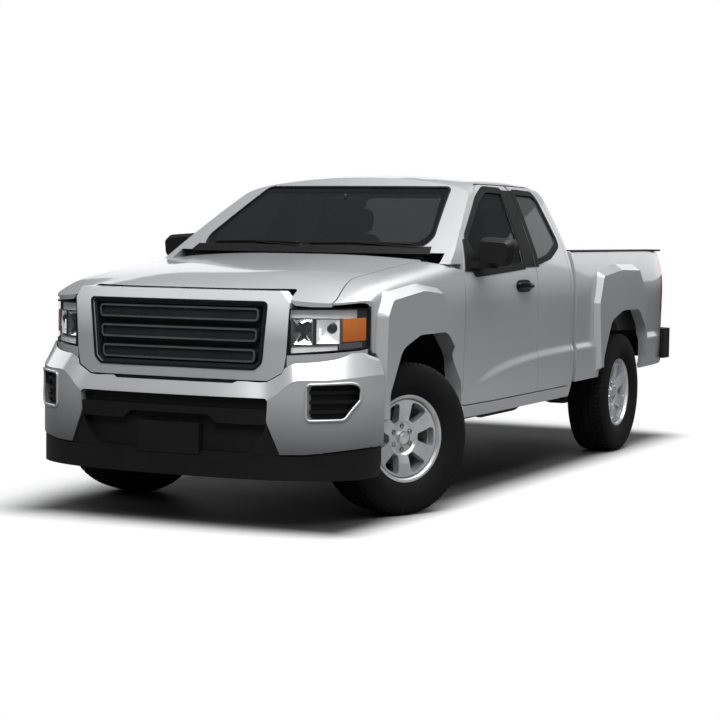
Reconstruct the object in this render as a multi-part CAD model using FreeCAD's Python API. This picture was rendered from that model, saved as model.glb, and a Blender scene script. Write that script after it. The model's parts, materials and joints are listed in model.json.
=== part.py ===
"""Pickup truck with an extended cab and a long bed, as an assembly of separate pieces.

Millimetres. The truck faces -Y, its left side is +X, +Z is up, and the origin is on the
floor under the middle of its length and width. The front wheels stand steered to the right.
"""
import FreeCAD
import Part
import math
import os

V = FreeCAD.Vector

# Overall sizes
LENGTH = 5395.0
FRONT_OVERHANG = 935.0
WHEELBASE = 3258.0
TRACK = 1588.0
ROOF_HEIGHT = 1790.0
PANEL_GAP = 6.0

# Wheels
TYRE_RADIUS = 388.0
TYRE_WIDTH = 262.0
RIM_RADIUS = 216.0
RIM_WIDTH = 206.0
SPOKES = 6
HUB_FACE = RIM_WIDTH / 2 - 84
NUT_CIRCLE = 60.0
NUT_POCKET_R = 14.0
STEER_AT_REST = 26.0
KINGPIN_X = 735.0

# Stations along the truck
FRONT_Y = -LENGTH / 2
REAR_Y = LENGTH / 2
AXLE_F = FRONT_Y + FRONT_OVERHANG
AXLE_R = AXLE_F + WHEELBASE
DOOR_FRONT_Y = -1168.0
DOOR_SPLIT_Y = -84.0
DOOR_REAR_Y = 486.0
CAB_REAR_Y = 570.0
BED_FRONT_Y = 596.0
COWL_Y = -1345.0

# Heights
DOOR_BOTTOM_Z = 504.0
BED_BOTTOM_Z = 516.0
BED_FLOOR_Z = 790.0
RAIL_Z = 1324.0
COWL_Z = 1316.0
SCREEN_FOOT_Z = 1318.0
ARCH_TOP_F = 914.0
ARCH_TOP_R = 934.0

# Walls
DOOR_WALL = 92.0
FRAME_WALL = 44.0
FENDER_WALL = 9.0
HOOD_WALL = 22.0
GLASS = 5.0
GLASS_INSET = 9.0
SEAT = 0.3


# Shape helpers

def box(x0, x1, y0, y1, z0, z1):
    """A block between two corners."""
    return Part.makeBox(x1 - x0, y1 - y0, z1 - z0, V(x0, y0, z0))


def rod(a, b, r):
    """A round bar of radius r from point a to point b."""
    a, b = V(*a), V(*b)
    return Part.makeCylinder(r, (b - a).Length, a, b - a)


def mirrored(shape):
    """The same shape on the other side of the truck."""
    return shape.mirror(V(0, 0, 0), V(1, 0, 0))


def both(shape):
    """A shape and its mirror image, as separate solids."""
    return Part.makeCompound([shape, mirrored(shape)])


def fused(*shapes):
    """One clean solid from shapes that touch."""
    whole = shapes[0]
    if len(shapes) > 1:
        whole = shapes[0].fuse(list(shapes[1:]))
    return whole.removeSplitter()


def largest(shape):
    """The largest solid of a boolean's result."""
    return max(shape.Solids, key=lambda s: s.Volume)


def corner_wire(points, place):
    """A closed wire through (a, b, radius) corners, each rounded by its own radius."""
    n = len(points)
    ends = []
    for i in range(n):
        a, b, r = points[i]
        p = V(a, b, 0)
        before = V(points[i - 1][0], points[i - 1][1], 0) - p
        after = V(points[(i + 1) % n][0], points[(i + 1) % n][1], 0) - p
        before.normalize()
        after.normalize()
        half = before.getAngle(after) / 2
        if r <= 0 or half > 1.56:
            ends.append((p, None, p))
            continue
        reach = r / math.tan(half)
        middle = before + after
        middle.normalize()
        centre = p + middle * (r / math.sin(half))
        ends.append((p + before * reach, centre - middle * r, p + after * reach))
    edges = []
    for i in range(n):
        first, mid, last = (place(q.x, q.y) if q is not None else None for q in ends[i])
        if mid is not None:
            edges.append(Part.Arc(first, mid, last).toShape())
        nxt = place(ends[(i + 1) % n][0].x, ends[(i + 1) % n][0].y)
        if (nxt - last).Length > 0.01:
            edges.append(Part.LineSegment(last, nxt).toShape())
    return Part.Wire(edges)


def prism_x(points, x0, x1):
    """A side outline of (y, z, radius) corners, carried across the truck from x0 to x1."""
    wire = corner_wire(points, lambda y, z: V(x0, y, z))
    return Part.Face(wire).extrude(V(x1 - x0, 0, 0))


def prism_y(points, y0, y1):
    """A front outline of (x, z, radius) corners, carried along the truck from y0 to y1."""
    wire = corner_wire(points, lambda x, z: V(x, y0, z))
    return Part.Face(wire).extrude(V(0, y1 - y0, 0))


def prism_z(points, z0, z1):
    """A plan outline of (x, y, radius) corners, carried up from z0 to z1."""
    wire = corner_wire(points, lambda x, y: V(x, y, z0))
    return Part.Face(wire).extrude(V(0, 0, z1 - z0))


def knots(count):
    """Multiplicities and places of the knots of a smooth line guided by count points."""
    inner = count - 4
    return [4] + [1] * inner + [4], [float(k) for k in range(inner + 2)]


def spline_edge(points):
    """A smooth edge guided by points, which it leaves and reaches exactly at its ends."""
    mults, places = knots(len(points))
    line = Part.BSplineCurve()
    line.buildFromPolesMultsKnots([V(*p) for p in points], mults, places, False, 3)
    return line.toShape()


def patch(rows):
    """A smooth surface guided by a grid of points, exact along its corners."""
    umults, uplaces = knots(len(rows))
    vmults, vplaces = knots(len(rows[0]))
    surface = Part.BSplineSurface()
    surface.buildFromPolesMultsKnots([[V(*p) for p in row] for row in rows],
                                     umults, vmults, uplaces, vplaces, False, False, 3, 3)
    return surface


def slab(outer, inner):
    """A closed wall between two grids of points of the same layout."""
    a, b = patch(outer), patch(inner)
    faces = [a.toShape(), b.toShape()]
    u0, u1, v0, v1 = a.bounds()
    p0, p1, q0, q1 = b.bounds()
    pairs = [(a.uIso(u0), b.uIso(p0)), (a.uIso(u1), b.uIso(p1)),
             (a.vIso(v0), b.vIso(q0)), (a.vIso(v1), b.vIso(q1))]
    for one, two in pairs:
        faces.append(Part.makeRuledSurface(one.toShape(), two.toShape()))
    shell = Part.makeShell(faces)
    shell.sewShape(0.01)
    solid = Part.makeSolid(Part.Shell(shell.Faces) if shell.ShapeType != "Shell" else shell)
    if solid.Volume < 0:
        solid.reverse()
    return solid


def revolved(points, centre, axis):
    """A ring from a closed (radius, along) outline turned about an axis through centre."""
    axis = V(*axis)
    axis.normalize()
    centre = V(*centre)
    out = V(1, 0, 0) if abs(axis.z) > 0.9 else V(0, 0, 1)
    at = [centre + out * r + axis * w for r, w in points]
    face = Part.Face(Part.makePolygon(at + at[:1]))
    return face.revolve(centre, axis, 360)


# Form of the body

def ease(t):
    """A smooth step from 0 to 1."""
    t = max(0.0, min(1.0, t))
    return t * t * (3 - 2 * t)


def curve(table, t):
    """A smooth line through (t, value) pairs, level outside them."""
    if t <= table[0][0]:
        return table[0][1]
    if t >= table[-1][0]:
        return table[-1][1]
    k = max(i for i in range(len(table) - 1) if table[i][0] <= t)

    def slope(i):
        lo, hi = max(i - 1, 0), min(i + 1, len(table) - 1)
        return (table[hi][1] - table[lo][1]) / (table[hi][0] - table[lo][0])

    (a, fa), (b, fb) = table[k], table[k + 1]
    h = b - a
    s = (t - a) / h
    return ((2 * s ** 3 - 3 * s ** 2 + 1) * fa + (s ** 3 - 2 * s ** 2 + s) * h * slope(k)
            + (3 * s ** 2 - 2 * s ** 3) * fb + (s ** 3 - s ** 2) * h * slope(k + 1))


# Half widths of the body side at each height, up to the roof rail
SIDE = [(430, 872), (480, 889), (520, 897), (600, 904), (750, 908), (900, 912), (1050, 915),
        (1130, 912), (1200, 902), (1260, 886), (1324, 863), (1400, 829), (1500, 783),
        (1600, 735), (1700, 684)]
# Roof height on the centre line, front to rear
ROOF = [(-700, 1722), (-575, 1745), (-300, 1776), (0, ROOF_HEIGHT - 2), (180, ROOF_HEIGHT),
        (400, 1783), (570, 1764)]
# Bonnet height on the centre line and at its shoulder, front to rear
CREST = [(-2640, 1105), (-2600, 1146), (-2540, 1170), (-2400, 1198), (-2151, 1232),
         (-1800, 1268), (-1500, 1296), (-1330, 1313), (-1160, 1326)]
SHOULDER = [(-2640, 1040), (-2560, 1062), (-2450, 1092), (-2300, 1150), (-2151, 1186),
            (-1800, 1224), (-1500, 1254), (-1300, 1277), (-1160, 1290)]
CREASE_FRONT_Y = -1062.0
CREASE_RISE = 152.0
CREASE_START_Z = 610.0
CREASE_RUN = 430.0
CREASE_DEPTH = 15.0
RAIL_START_Z = 1640.0
SKIRT_Z = 430.0
ROOF_EDGE_X = 560.0
ROOF_CROWN = 40.0


def crease_z(y):
    """Height of the character line on the lower side, which rises towards the rear."""
    return CREASE_START_Z + CREASE_RISE * (1 - math.exp(-max(0.0, y - CREASE_FRONT_Y) / CREASE_RUN))


def side_x(y, z):
    """Half width of the body at a station and height."""
    crown = 30.0 * ((y + 100) / 2700.0) ** 2
    ledge = CREASE_DEPTH * ease((y - CREASE_FRONT_Y) / 260) * ease((crease_z(y) - z) / 46)
    return curve(SIDE, z) - crown + ledge


def side_rows(y):
    """Heights to sample on the side, closer together round the character line."""
    line = crease_z(y)
    low, high = line - 66, line + 44
    under = [SKIRT_Z + (low - SKIRT_Z) * f for f in (0.0, 0.25, 0.5, 0.75)]
    near = [line + d for d in (-66, -50, -38, -26, -14, -2, 14, 44)]
    over = [high + (RAIL_START_Z - high) * k / 13 for k in range(1, 14)]
    return under + near + over


def inset_points(points, walls):
    """Points moved inwards, square to their line, each by its own wall."""
    out = []
    for i, (x, z) in enumerate(points):
        ax, az = points[max(i - 1, 0)]
        bx, bz = points[min(i + 1, len(points) - 1)]
        tx, tz = bx - ax, bz - az
        n = math.hypot(tx, tz)
        out.append((x - walls[i] * tz / n, z + walls[i] * tx / n))
    return out


def corner_points(a, ta, b, tb, steps):
    """Points inside a rounded corner from a, heading ta, to b, arriving along tb."""
    det = ta[0] * -tb[1] + tb[0] * ta[1]
    k = ((b[0] - a[0]) * -tb[1] + tb[0] * (b[1] - a[1])) / det
    c = (a[0] + k * ta[0], a[1] + k * ta[1])
    out = []
    for i in range(1, steps):
        t = i / steps
        out.append(tuple((1 - t) ** 2 * a[j] + 2 * t * (1 - t) * c[j] + t * t * b[j] for j in (0, 1)))
    return out


def cab_section(y):
    """Half outline of the cab, sill to roof centre, as (x, z) points."""
    side = [(side_x(y, z), z) for z in side_rows(y)]
    top = curve(ROOF, y)
    roof = [(ROOF_EDGE_X * f, top - ROOF_CROWN * f * f) for f in (1.0, 0.75, 0.5, 0.25)]
    roof.append((0.0, roof[-1][1]))
    a, b = side[-1], roof[0]
    ta = (a[0] - side[-2][0], a[1] - side[-2][1])
    return side + corner_points(a, ta, b, (1, -2 * ROOF_CROWN / ROOF_EDGE_X), 5) + roof


def front_section(y):
    """Half outline of the body ahead of the doors, sill to bonnet centre."""
    shoulder, crest = curve(SHOULDER, y), curve(CREST, y)
    start = shoulder - 78
    side = [(side_x(y, z), z) for z in [SKIRT_Z + (start - SKIRT_Z) * k / 12 for k in range(13)]]
    edge = side[-1][0] - 105
    top = [(edge * f, shoulder + (crest - shoulder) * (1 - f ** 2.3))
           for f in (1.0, 0.85, 0.68, 0.5, 0.3)]
    top.append((0.0, top[-1][1]))
    a, b = side[-1], top[0]
    ta = (a[0] - side[-2][0], a[1] - side[-2][1])
    slope = 2.3 * (crest - shoulder) / edge
    return side + corner_points(a, ta, b, (1, -slope), 6) + top


def lined(points, wall):
    """The inner line of a half outline: level inwards on the side, square to it above."""
    squared = inset_points(points, [wall(z) for x, z in points])
    out = []
    for (x, z), (sx, sz) in zip(points, squared):
        t = ease((z - SQUARE_Z) / 140)
        flat = min(x, curve(SIDE, z) - 4) - wall(z)
        out.append((flat * (1 - t) + sx * t, z * (1 - t) + sz * t))
    out[-1] = (0.0, out[-1][1])
    return out


def half_shell(section, stations, inside):
    """One half of a body as a wall, from its section at each station and that section's inside."""
    outer = [[(x, y, z) for x, z in section(y)] for y in stations]
    inner = [[(x, y, z) for x, z in inside(section(y))] for y in stations]
    return slab(outer, inner)


CAB_STATIONS = [-1460, -1250, -1040, -860, -700, -540, -300, 0, 300, 620]
FRONT_STATIONS = [-2660, -2600, -2540, -2450, -2300, -2151, -1950, -1700, -1450, -1140]
SQUARE_Z = 1240.0


def cab_wall(z):
    """Thickness of the cab and door walls at a height: thick below the glass."""
    return FRAME_WALL + (DOOR_WALL - FRAME_WALL) * (1 - ease((z - 1150) / 160))


def screen_y(x, z):
    """Place of the windscreen's outside, which leans back and bows forward in the middle."""
    rise = z - COWL_Z
    bulge = 16.0 * max(0.0, 4 * (rise / 424) * (1 - rise / 424))
    return COWL_Y + rise * 1.82 + 84.0 * (x / 728.0) ** 2 - bulge


def beyond(place, offset, z0, z1, reach):
    """Everything on one side of a surface y = place(x, z) that is moved back by offset."""
    xs = [1050.0 * k / 6 for k in range(-6, 7)]
    zs = [z0 + (z1 - z0) * k / 10 for k in range(11)]
    rows = [[(x, place(x, z) + offset, z) for z in zs] for x in xs]
    return patch(rows).toShape().extrude(V(0, reach, 0))


def back_y(x, z):
    """Place of the cab's rear wall, which leans forward above the bed rail."""
    lean = 96.0 * ease((z - 1330) / 460) * ((z - 1330) / 460 if z > 1330 else 0)
    return CAB_REAR_Y - lean - 26.0 * (x / 800.0) ** 2


# Side outlines, (y, z, corner radius)

def front_door_outline():
    """The front door, which runs up over the window to the roof rail."""
    return [(DOOR_FRONT_Y, DOOR_BOTTOM_Z, 40), (DOOR_SPLIT_Y, DOOR_BOTTOM_Z, 6),
            (DOOR_SPLIT_Y, 1230, 60), (DOOR_SPLIT_Y + 62, 1706, 6), (-400, 1706, 300),
            (-628, 1640, 60), (-1046, 1405, 90), (DOOR_FRONT_Y, 1212, 60)]


def rear_door_outline():
    """The rear access door, hinged at its back edge."""
    y0 = DOOR_SPLIT_Y + PANEL_GAP
    return [(y0, DOOR_BOTTOM_Z, 6), (DOOR_REAR_Y, DOOR_BOTTOM_Z, 40), (DOOR_REAR_Y, 1330, 120),
            (DOOR_REAR_Y - 62, 1706, 90), (y0 + 62, 1706, 6), (y0, 1230, 60)]


def opening_outline():
    """The one opening in the cab's side that both doors close."""
    front, rear = front_door_outline(), rear_door_outline()
    return grown([front[0]] + rear[1:4] + front[4:], PANEL_GAP)


FRONT_WINDOW = [(-1010, 1214, 20), (-262, 1250, 10), (-176, 1668, 10), (-420, 1672, 200),
                (-606, 1606, 60), (-992, 1392, 60)]
QUARTER_WINDOW = [(-28, 1268, 14), (200, 1300, 200), (418, 1372, 40), (352, 1662, 70),
                  (32, 1668, 12)]
SCREEN_OUTLINE = [(-726, 1340, 60), (726, 1340, 60), (584, 1690, 50), (-584, 1690, 50)]
BACKLIGHT_OUTLINE = [(-560, 1360, 60), (560, 1360, 60), (500, 1640, 60), (-500, 1640, 60)]
FAR = 1100.0


def grown(points, g):
    """An outline moved outwards by g on all sides."""
    n = len(points)
    turn = sum(points[i][0] * points[(i + 1) % n][1] - points[(i + 1) % n][0] * points[i][1]
               for i in range(n))
    sign = 1 if turn > 0 else -1
    out = []
    for i in range(n):
        (a, b), (c, d), (e, f) = points[i - 1][:2], points[i][:2], points[(i + 1) % n][:2]
        n1 = (sign * (d - b), -sign * (c - a))
        n2 = (sign * (f - d), -sign * (e - c))
        l1, l2 = math.hypot(*n1), math.hypot(*n2)
        n1, n2 = (n1[0] / l1, n1[1] / l1), (n2[0] / l2, n2[1] / l2)
        k = g / (1 + n1[0] * n2[0] + n1[1] * n2[1])
        out.append((c + k * (n1[0] + n2[0]), d + k * (n1[1] + n2[1]), max(points[i][2] + g, 1)))
    return out


# Cab

def split_wedge(edge_y, top_shift, low, high, away):
    """What a door's edge loses behind its skin so that it swings clear, by slopes low and high."""
    wires = []
    for z, y, slope in ((480, edge_y, low), (1230, edge_y, low), (1330, edge_y + top_shift * 0.21, high),
                        (1720, edge_y + top_shift * 1.03, high)):
        x = side_x(y, z)
        far = y + away * 90
        corners = [(x + 4, y), (x - 170, y - away * slope * 170), (x - 170, far), (x + 4, far)]
        wires.append(Part.makePolygon([V(a, b, z) for a, b in corners + corners[:1]]))
    return Part.makeLoft(wires, True, True)


LEDGE_Z = 475.7
SEAL_X = 850.0


def build_cab(half):
    """The cab's fixed shell: pillars, sills, roof and rear wall."""
    jamb = DOOR_FRONT_Y - PANEL_GAP
    side = half.cut(prism_x(opening_outline(), 300, FAR))
    side = side.cut(box(840, FAR, -1600, jamb, 300, 1262))
    side = side.cut(box(-1, FAR, -1600, jamb - 76, 300, 1262))
    side = side.cut(box(-1, 720, -1700, jamb - 20, 300, SCREEN_FOOT_Z))
    side = side.cut(beyond(screen_y, 0, 1180, 1850, -900))
    side = side.cut(beyond(back_y, 0, 380, 1850, 400))
    side = largest(side)
    space = half_solid(cab_section, CAB_STATIONS, cab_wall)
    rear = beyond(back_y, -FRAME_WALL, 380, 1850, 400).cut(beyond(back_y, 0, 380, 1850, 500))
    rear = rear.common(box(0, FAR, 0, 700, 476, 1850)).common(space)
    head = beyond(screen_y, 0, 1180, 1850, 60).cut(beyond(screen_y, 60, 1180, 1850, 400))
    head = head.common(box(0, FAR, -1700, -200, SCREEN_FOOT_Z, 1850)).common(space)
    head = head.cut(prism_x(opening_outline(), 300, FAR))
    ledge = box(772, 840, jamb - 60, DOOR_REAR_Y, LEDGE_Z - 14, LEDGE_Z)
    seal = box(SEAL_X - 12, SEAL_X + 12, DOOR_FRONT_Y + 50, DOOR_REAR_Y - 50, DOOR_BOTTOM_Z - 8,
               DOOR_BOTTOM_Z - SEAT)
    whole = fused(side, rear, head, ledge, seal)
    whole = whole.cut(prism_y(SCREEN_OUTLINE, -1700, -200))
    whole = whole.cut(prism_y(BACKLIGHT_OUTLINE, 300, 700))
    return fused(whole, mirrored(whole))


def half_solid(section, stations, wall):
    """One half of the space inside a body's wall, with half of the wall's thickness."""
    edge = [[(x, y, z) for x, z in lined(section(y), lambda z: wall(z) / 2)] for y in stations]
    middle = [[(-1.0, y, z) for x, y, z in row] for row in edge]
    return slab(edge, middle)


FLOOR_LOW_Z = LEDGE_Z + SEAT
FLOOR_SHEET = 16.0
FLOOR_HALF = 784.0
FIREWALL_Y = DOOR_FRONT_Y - PANEL_GAP - 76
FIREWALL_SHEET = 12.0
FLOOR_REAR_Y = CAB_REAR_Y - FRAME_WALL - 28
TUNNEL_FLANGE = 24.0
TUNNEL_STEP_Y = -760.0
TUNNEL_FRONT = (176, 712)
TUNNEL_REAR = (112, 606)


def tunnel_part(size, y0, y1, wall=0.0):
    """A length of the tunnel as a solid, moved in by wall."""
    half, top = size[0] - wall, size[1] - 1.2 * wall
    return prism_y(even([(half, top, 50 - wall), (half + TUNNEL_FLANGE, FLOOR_LOW_Z, 0)]), y0, y1)


def build_tunnel():
    """Transmission tunnel, high and wide at the front and lower behind it, open below."""
    whole = tunnel_part(TUNNEL_FRONT, FIREWALL_Y, TUNNEL_STEP_Y)
    whole = whole.fuse(tunnel_part(TUNNEL_REAR, TUNNEL_STEP_Y - 30, FLOOR_REAR_Y))
    whole = whole.cut(tunnel_part(TUNNEL_FRONT, FIREWALL_Y - 5, TUNNEL_STEP_Y - 14, 12))
    whole = whole.cut(tunnel_part(TUNNEL_REAR, TUNNEL_STEP_Y - 40, FLOOR_REAR_Y + 5, 12))
    return largest(whole.removeSplitter())


def build_floor():
    """Left floor panel, from the tunnel to the sill."""
    front, rear = TUNNEL_FRONT[0] + TUNNEL_FLANGE, TUNNEL_REAR[0] + TUNNEL_FLANGE
    return prism_z([(front, FIREWALL_Y + FIREWALL_SHEET, 0), (FLOOR_HALF, FIREWALL_Y + FIREWALL_SHEET, 0),
                    (FLOOR_HALF, FLOOR_REAR_Y, 0), (rear, FLOOR_REAR_Y, 0), (rear, TUNNEL_STEP_Y, 0),
                    (front, TUNNEL_STEP_Y, 0)], FLOOR_LOW_Z, FLOOR_LOW_Z + FLOOR_SHEET)


def build_firewall():
    """Firewall across the cab, open where the tunnel runs through it."""
    wall = box(-FLOOR_HALF, FLOOR_HALF, FIREWALL_Y, FIREWALL_Y + FIREWALL_SHEET, FLOOR_LOW_Z, 1262)
    return wall.cut(tunnel_part(TUNNEL_FRONT, FIREWALL_Y - 5, FIREWALL_Y + 20, -SEAT))


def pane(place, outline_prism, z0, z1, inset):
    """A sheet of glass under a leaning surface, inside an outline."""
    sign = 1 if inset > 0 else -1
    front = beyond(place, inset, z0, z1, sign * 300)
    back = beyond(place, inset + sign * GLASS * 2, z0, z1, sign * 300)
    return largest(front.cut(back).common(outline_prism))


def side_pane(outline):
    """A sheet of side glass inside an outline, set in from the skin."""
    sheet = slab(side_layer(GLASS_INSET), side_layer(GLASS_INSET + GLASS))
    return largest(sheet.common(prism_x(outline, 300, FAR)))


# Front end

NOSE_Y = -2632.0
NOSE_HALF = 935.0
NOSE_DEPTH = 900.0
BUMPER_HALF = 948.0
BUMPER_DEPTH = 520.0
BUMPER_POWER = 2.8
BUMPER_END_Y = -2250.0
BUMPER_BACK = 60.0
BACK = -900.0


def plan_solid(front, half, depth, power, z0, z1, inset=0.0):
    """An upright block whose front follows a squared oval in plan."""
    w, d = half - inset, depth - inset
    y_in = front + inset
    arc = []
    for k in range(-12, 13):
        a = math.radians(90 * k / 12)
        c = max(math.cos(a), 0.0)
        x = math.copysign(w * abs(math.sin(a)) ** (2 / power), a)
        arc.append((x, y_in + d * (1 - c ** (2 / power)), z0))
    sides = [V(w, BACK, z0), V(-w, BACK, z0)]
    line = spline_edge(arc)
    wire = Part.Wire([line, Part.LineSegment(V(*arc[-1]), sides[0]).toShape(),
                      Part.LineSegment(sides[0], sides[1]).toShape(),
                      Part.LineSegment(sides[1], V(*arc[0])).toShape()])
    return Part.Face(wire).extrude(V(0, 0, z1 - z0))


def nose(z0, z1, inset=0.0):
    """The body's plan at the front, between two heights."""
    return plan_solid(NOSE_Y, NOSE_HALF, NOSE_DEPTH, 3.8, z0, z1, inset)


def bumper_plan(z0, z1, inset=0.0):
    """The bumper's plan, between two heights."""
    return plan_solid(FRONT_Y, BUMPER_HALF, BUMPER_DEPTH, BUMPER_POWER, z0, z1, inset)


def even(points):
    """A front half outline completed by its mirror image."""
    return points + [(-x, z, r) for x, z, r in reversed(points)]


BONNET_HALF_REAR = 712.0
BONNET_REAR_Y = -1400.0
HINGE_Y = -1280.0
HINGE_Z = 1262.0
HINGE_PIN_R = 6.0
HINGE_ARM_X = 640.0
COWL_FLOOR_Z = 1224.0


def bonnet_plan(g, z0, z1):
    """The bonnet's outline in plan, grown by g."""
    corner_y = BONNET_REAR_Y + 78 + g
    outline = even([(BONNET_HALF_REAR + g, corner_y, 6), (706 + g, -2151, 300), (770 + g, -2432, 200),
                    (790 + g, -2800, 0)])
    return prism_z(outline + [(0, BONNET_REAR_Y - 8 + g, 5000)], z0, z1)


def bonnet_front(g):
    """The space above the bonnet's front edge, which drops over the headlamps."""
    return prism_y([(-1000, 1066 - g, 0), (-628, 1068 - g, 20), (-566, 1148 - g, 30),
                    (566, 1148 - g, 30), (628, 1068 - g, 20), (1000, 1066 - g, 0),
                    (1000, 1500, 0), (-1000, 1500, 0)], -2800, -1000)


def across(points):
    """A half outline from one side to the centre, carried on to the other side."""
    return [(-x, z) for x, z in points] + [(x, z) for x, z in reversed(points[:-1])]


def build_bonnet():
    """Bonnet with a raised centre, its whole thickness, on two hinge arms."""
    outer = [[(x, y, z) for x, z in across(front_section(y)[11:])] for y in FRONT_STATIONS]
    inner = [[(x, y, z) for x, z in inset_points(across(front_section(y)[11:]), [-HOOD_WALL] * len(outer[0]))]
             for y in FRONT_STATIONS]
    panel = slab(outer, inner).common(nose(900, 1500)).common(bonnet_plan(0, 900, 1500))
    panel = largest(panel.common(bonnet_front(0)))
    arms = []
    y, z = HINGE_Y, HINGE_Z
    for s in (-1, 1):
        x0, x1 = sorted((s * HINGE_ARM_X, s * (HINGE_ARM_X + 12)))
        arm = prism_x([(y - 130, z + 60, 0), (y - 130, z - 14, 10), (y + 13, z - 13, 12.9),
                       (y + 13, z + 13, 12.9), (y - 60, z + 13, 0), (y - 60, z + 60, 0)], x0, x1)
        arm = arm.cut(rod((s * 600, y, z), (s * 700, y, z), HINGE_PIN_R + SEAT))
        arms.append(min(arm.cut(panel).Solids, key=lambda a: a.CenterOfMass.z))
    return fused(panel, *arms)


FENDER_OUTLINE = [(-2720, 1070, 0), (-2290, 1070, 4), (-2284, 862, 10), (-2250, 770, 10), (-2206, 448, 0),
                  (DOOR_FRONT_Y - PANEL_GAP, 448, 0), (DOOR_FRONT_Y - PANEL_GAP, 1226, 4),
                  (-1360, 1262, 40), (-1420, 1400, 0), (-2720, 1400, 0)]


def arch(axle, front, rear, top, grow=0.0):
    """A wheel arch outline round an axle, squarer than a circle."""
    g = grow
    return [(axle - front - g * 0.9, 380, 0), (axle - front - g, 640, 60 + g),
            (axle - front * 0.66 - g * 0.8, top - 60 + g * 0.8, 130 + g), (axle - 60, top + g, 200),
            (axle + rear * 0.6, top + g, 150), (axle + rear * 0.93 + g, top - 130 + g * 0.5, 120),
            (axle + rear + g, 600, 60), (axle + rear + g, 380, 0)]


ARCH_FRONT = (AXLE_F, 415, 468, ARCH_TOP_F)
ARCH_REAR = (AXLE_R, 440, 470, ARCH_TOP_R)
FLARE_X = 943.0
FLARE_BASE_X = 853.0
FLARE_SLOPE = 0.712


def flare(outer):
    """A raised flare with slanted faces, round an arch."""
    reach = FLARE_X - FLARE_BASE_X
    base = corner_wire(outer, lambda y, z: V(FLARE_BASE_X, y, z))
    top = corner_wire(grown(outer, -reach * FLARE_SLOPE), lambda y, z: V(FLARE_X, y, z))
    return Part.makeLoft([base, top], True, True)


FLARE_FRONT = [(-2302, 458, 4), (-2270, 1040, 90), (-2190, 1156, 90), (-1790, 1198, 300), (-1504, 1174, 90),
               (-1414, 1054, 120), (-1213, 602, 40), (-1213, 458, 4)]
FLARE_REAR = [(948, 518, 4), (893, 1002, 60), (990, 1224, 90), (1400, 1264, 300), (1806, 1256, 100),
              (1971, 1085, 120), (2047, 642, 60), (2062, 518, 4)]


def build_fender():
    """Left front fender: side panel, shoulder and arch flare."""
    half = half_shell(front_section, FRONT_STATIONS,
                      lambda points: inset_points(points, [FENDER_WALL] * len(points)))
    panel = largest(half.common(prism_x(FENDER_OUTLINE, 300, FAR)))
    panel = largest(panel.common(nose(380, 1400)))
    panel = panel.cut(bonnet_plan(PANEL_GAP, 900, 1500).common(bonnet_front(PANEL_GAP)))
    panel = panel.common(box(560, FAR, -2800, -1000, 380, 1400))
    raised = flare(FLARE_FRONT).cut(box(800, FAR, -2400, -2250, 380, 1300)).cut(
        box(800, FAR, DOOR_FRONT_Y - PANEL_GAP, 0, 380, 1300))
    whole = fused(largest(panel), raised)
    whole = whole.cut(prism_x(arch(*ARCH_FRONT), 500, FAR))
    bumper_space = bumper_plan(300, 900, -PANEL_GAP)
    bumper_space = bumper_space.common(box(0, FAR, -2800, BUMPER_END_Y + PANEL_GAP, 300, 900))
    bumper_space = bumper_space.common(prism_y(grown(BUMPER_OUTLINE, PANEL_GAP), -2800, -2000))
    return largest(whole.cut(bumper_space))


GRILLE_TOP_Z = 1082.0
GRILLE_LOW_Z = 772.0
SURROUND_TOP = (600, 1084)
SURROUND_LOW = (586, 838)
LAMP_DEPTH = 110.0
HEADLAMP_OUTLINE = [(SURROUND_TOP[0] - 1.2 + SEAT, 1060, 4), (920, 1062, 0), (920, 884, 0), (875, 862, 20),
                    (SURROUND_LOW[0] + SEAT, SURROUND_LOW[1], 4)]


def build_headlamp():
    """Left headlamp, a deep block whose face follows the nose."""
    block = nose(800, 1100, 2).cut(nose(790, 1110, LAMP_DEPTH))
    block = block.common(prism_y(HEADLAMP_OUTLINE, -2700, -2296))
    return largest(block)


SURROUND_OUTER = even([(560, 1141, 20), (*SURROUND_TOP, 10), (*SURROUND_LOW, 30), (572, 756, 24),
                       (498, 714, 24)])
SURROUND_BACK = 66.0
SURROUND_INNER = even([(488, GRILLE_TOP_Z, 12), (462, 800, 30), (430, GRILLE_LOW_Z, 20)])


def build_surround():
    """Bright frame round the grille."""
    block = nose(700, 1200, -2).cut(nose(690, 1210, SURROUND_BACK))
    block = block.common(prism_y(SURROUND_OUTER, -2800, -2300))
    return largest(block.cut(prism_y(SURROUND_INNER, -2900, -2200)))


GRILLE_BARS = 3
BAR_HALF = 33.0


def build_grille():
    """Three thick bars across the opening, with a frame and a dark mesh behind."""
    frame = nose(740, 1100, 10).cut(nose(730, 1110, 60))
    edge = frame.common(prism_y(grown(SURROUND_INNER, -SEAT), -2800, -2300))
    edge = edge.cut(prism_y(grown(SURROUND_INNER, -16), -2900, -2200))
    back = nose(740, 1100, 52).cut(nose(730, 1110, 60))
    back = back.common(prism_y(grown(SURROUND_INNER, -10), -2800, -2300))
    parts = [largest(edge), largest(back)]
    pitch = (GRILLE_TOP_Z - GRILLE_LOW_Z) / (GRILLE_BARS + 0.15)
    for k in range(GRILLE_BARS):
        z = GRILLE_LOW_Z + pitch * (k + 0.58)
        half = 452 - 9 * (GRILLE_BARS - 1 - k)
        outline = even([(half, z + BAR_HALF, 22), (half - 5, z - BAR_HALF, 22)])
        bar = nose(z - 40, z + 40, 12).cut(nose(z - 50, z + 50, 56)).common(prism_y(outline, -2800, -2300))
        groove = nose(z - 40, z + 40).cut(nose(z - 50, z + 50, 22))
        parts.append(largest(bar.cut(groove.common(prism_y(grown(outline, -12), -2900, -2200)))))
    return fused(*parts)


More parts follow.
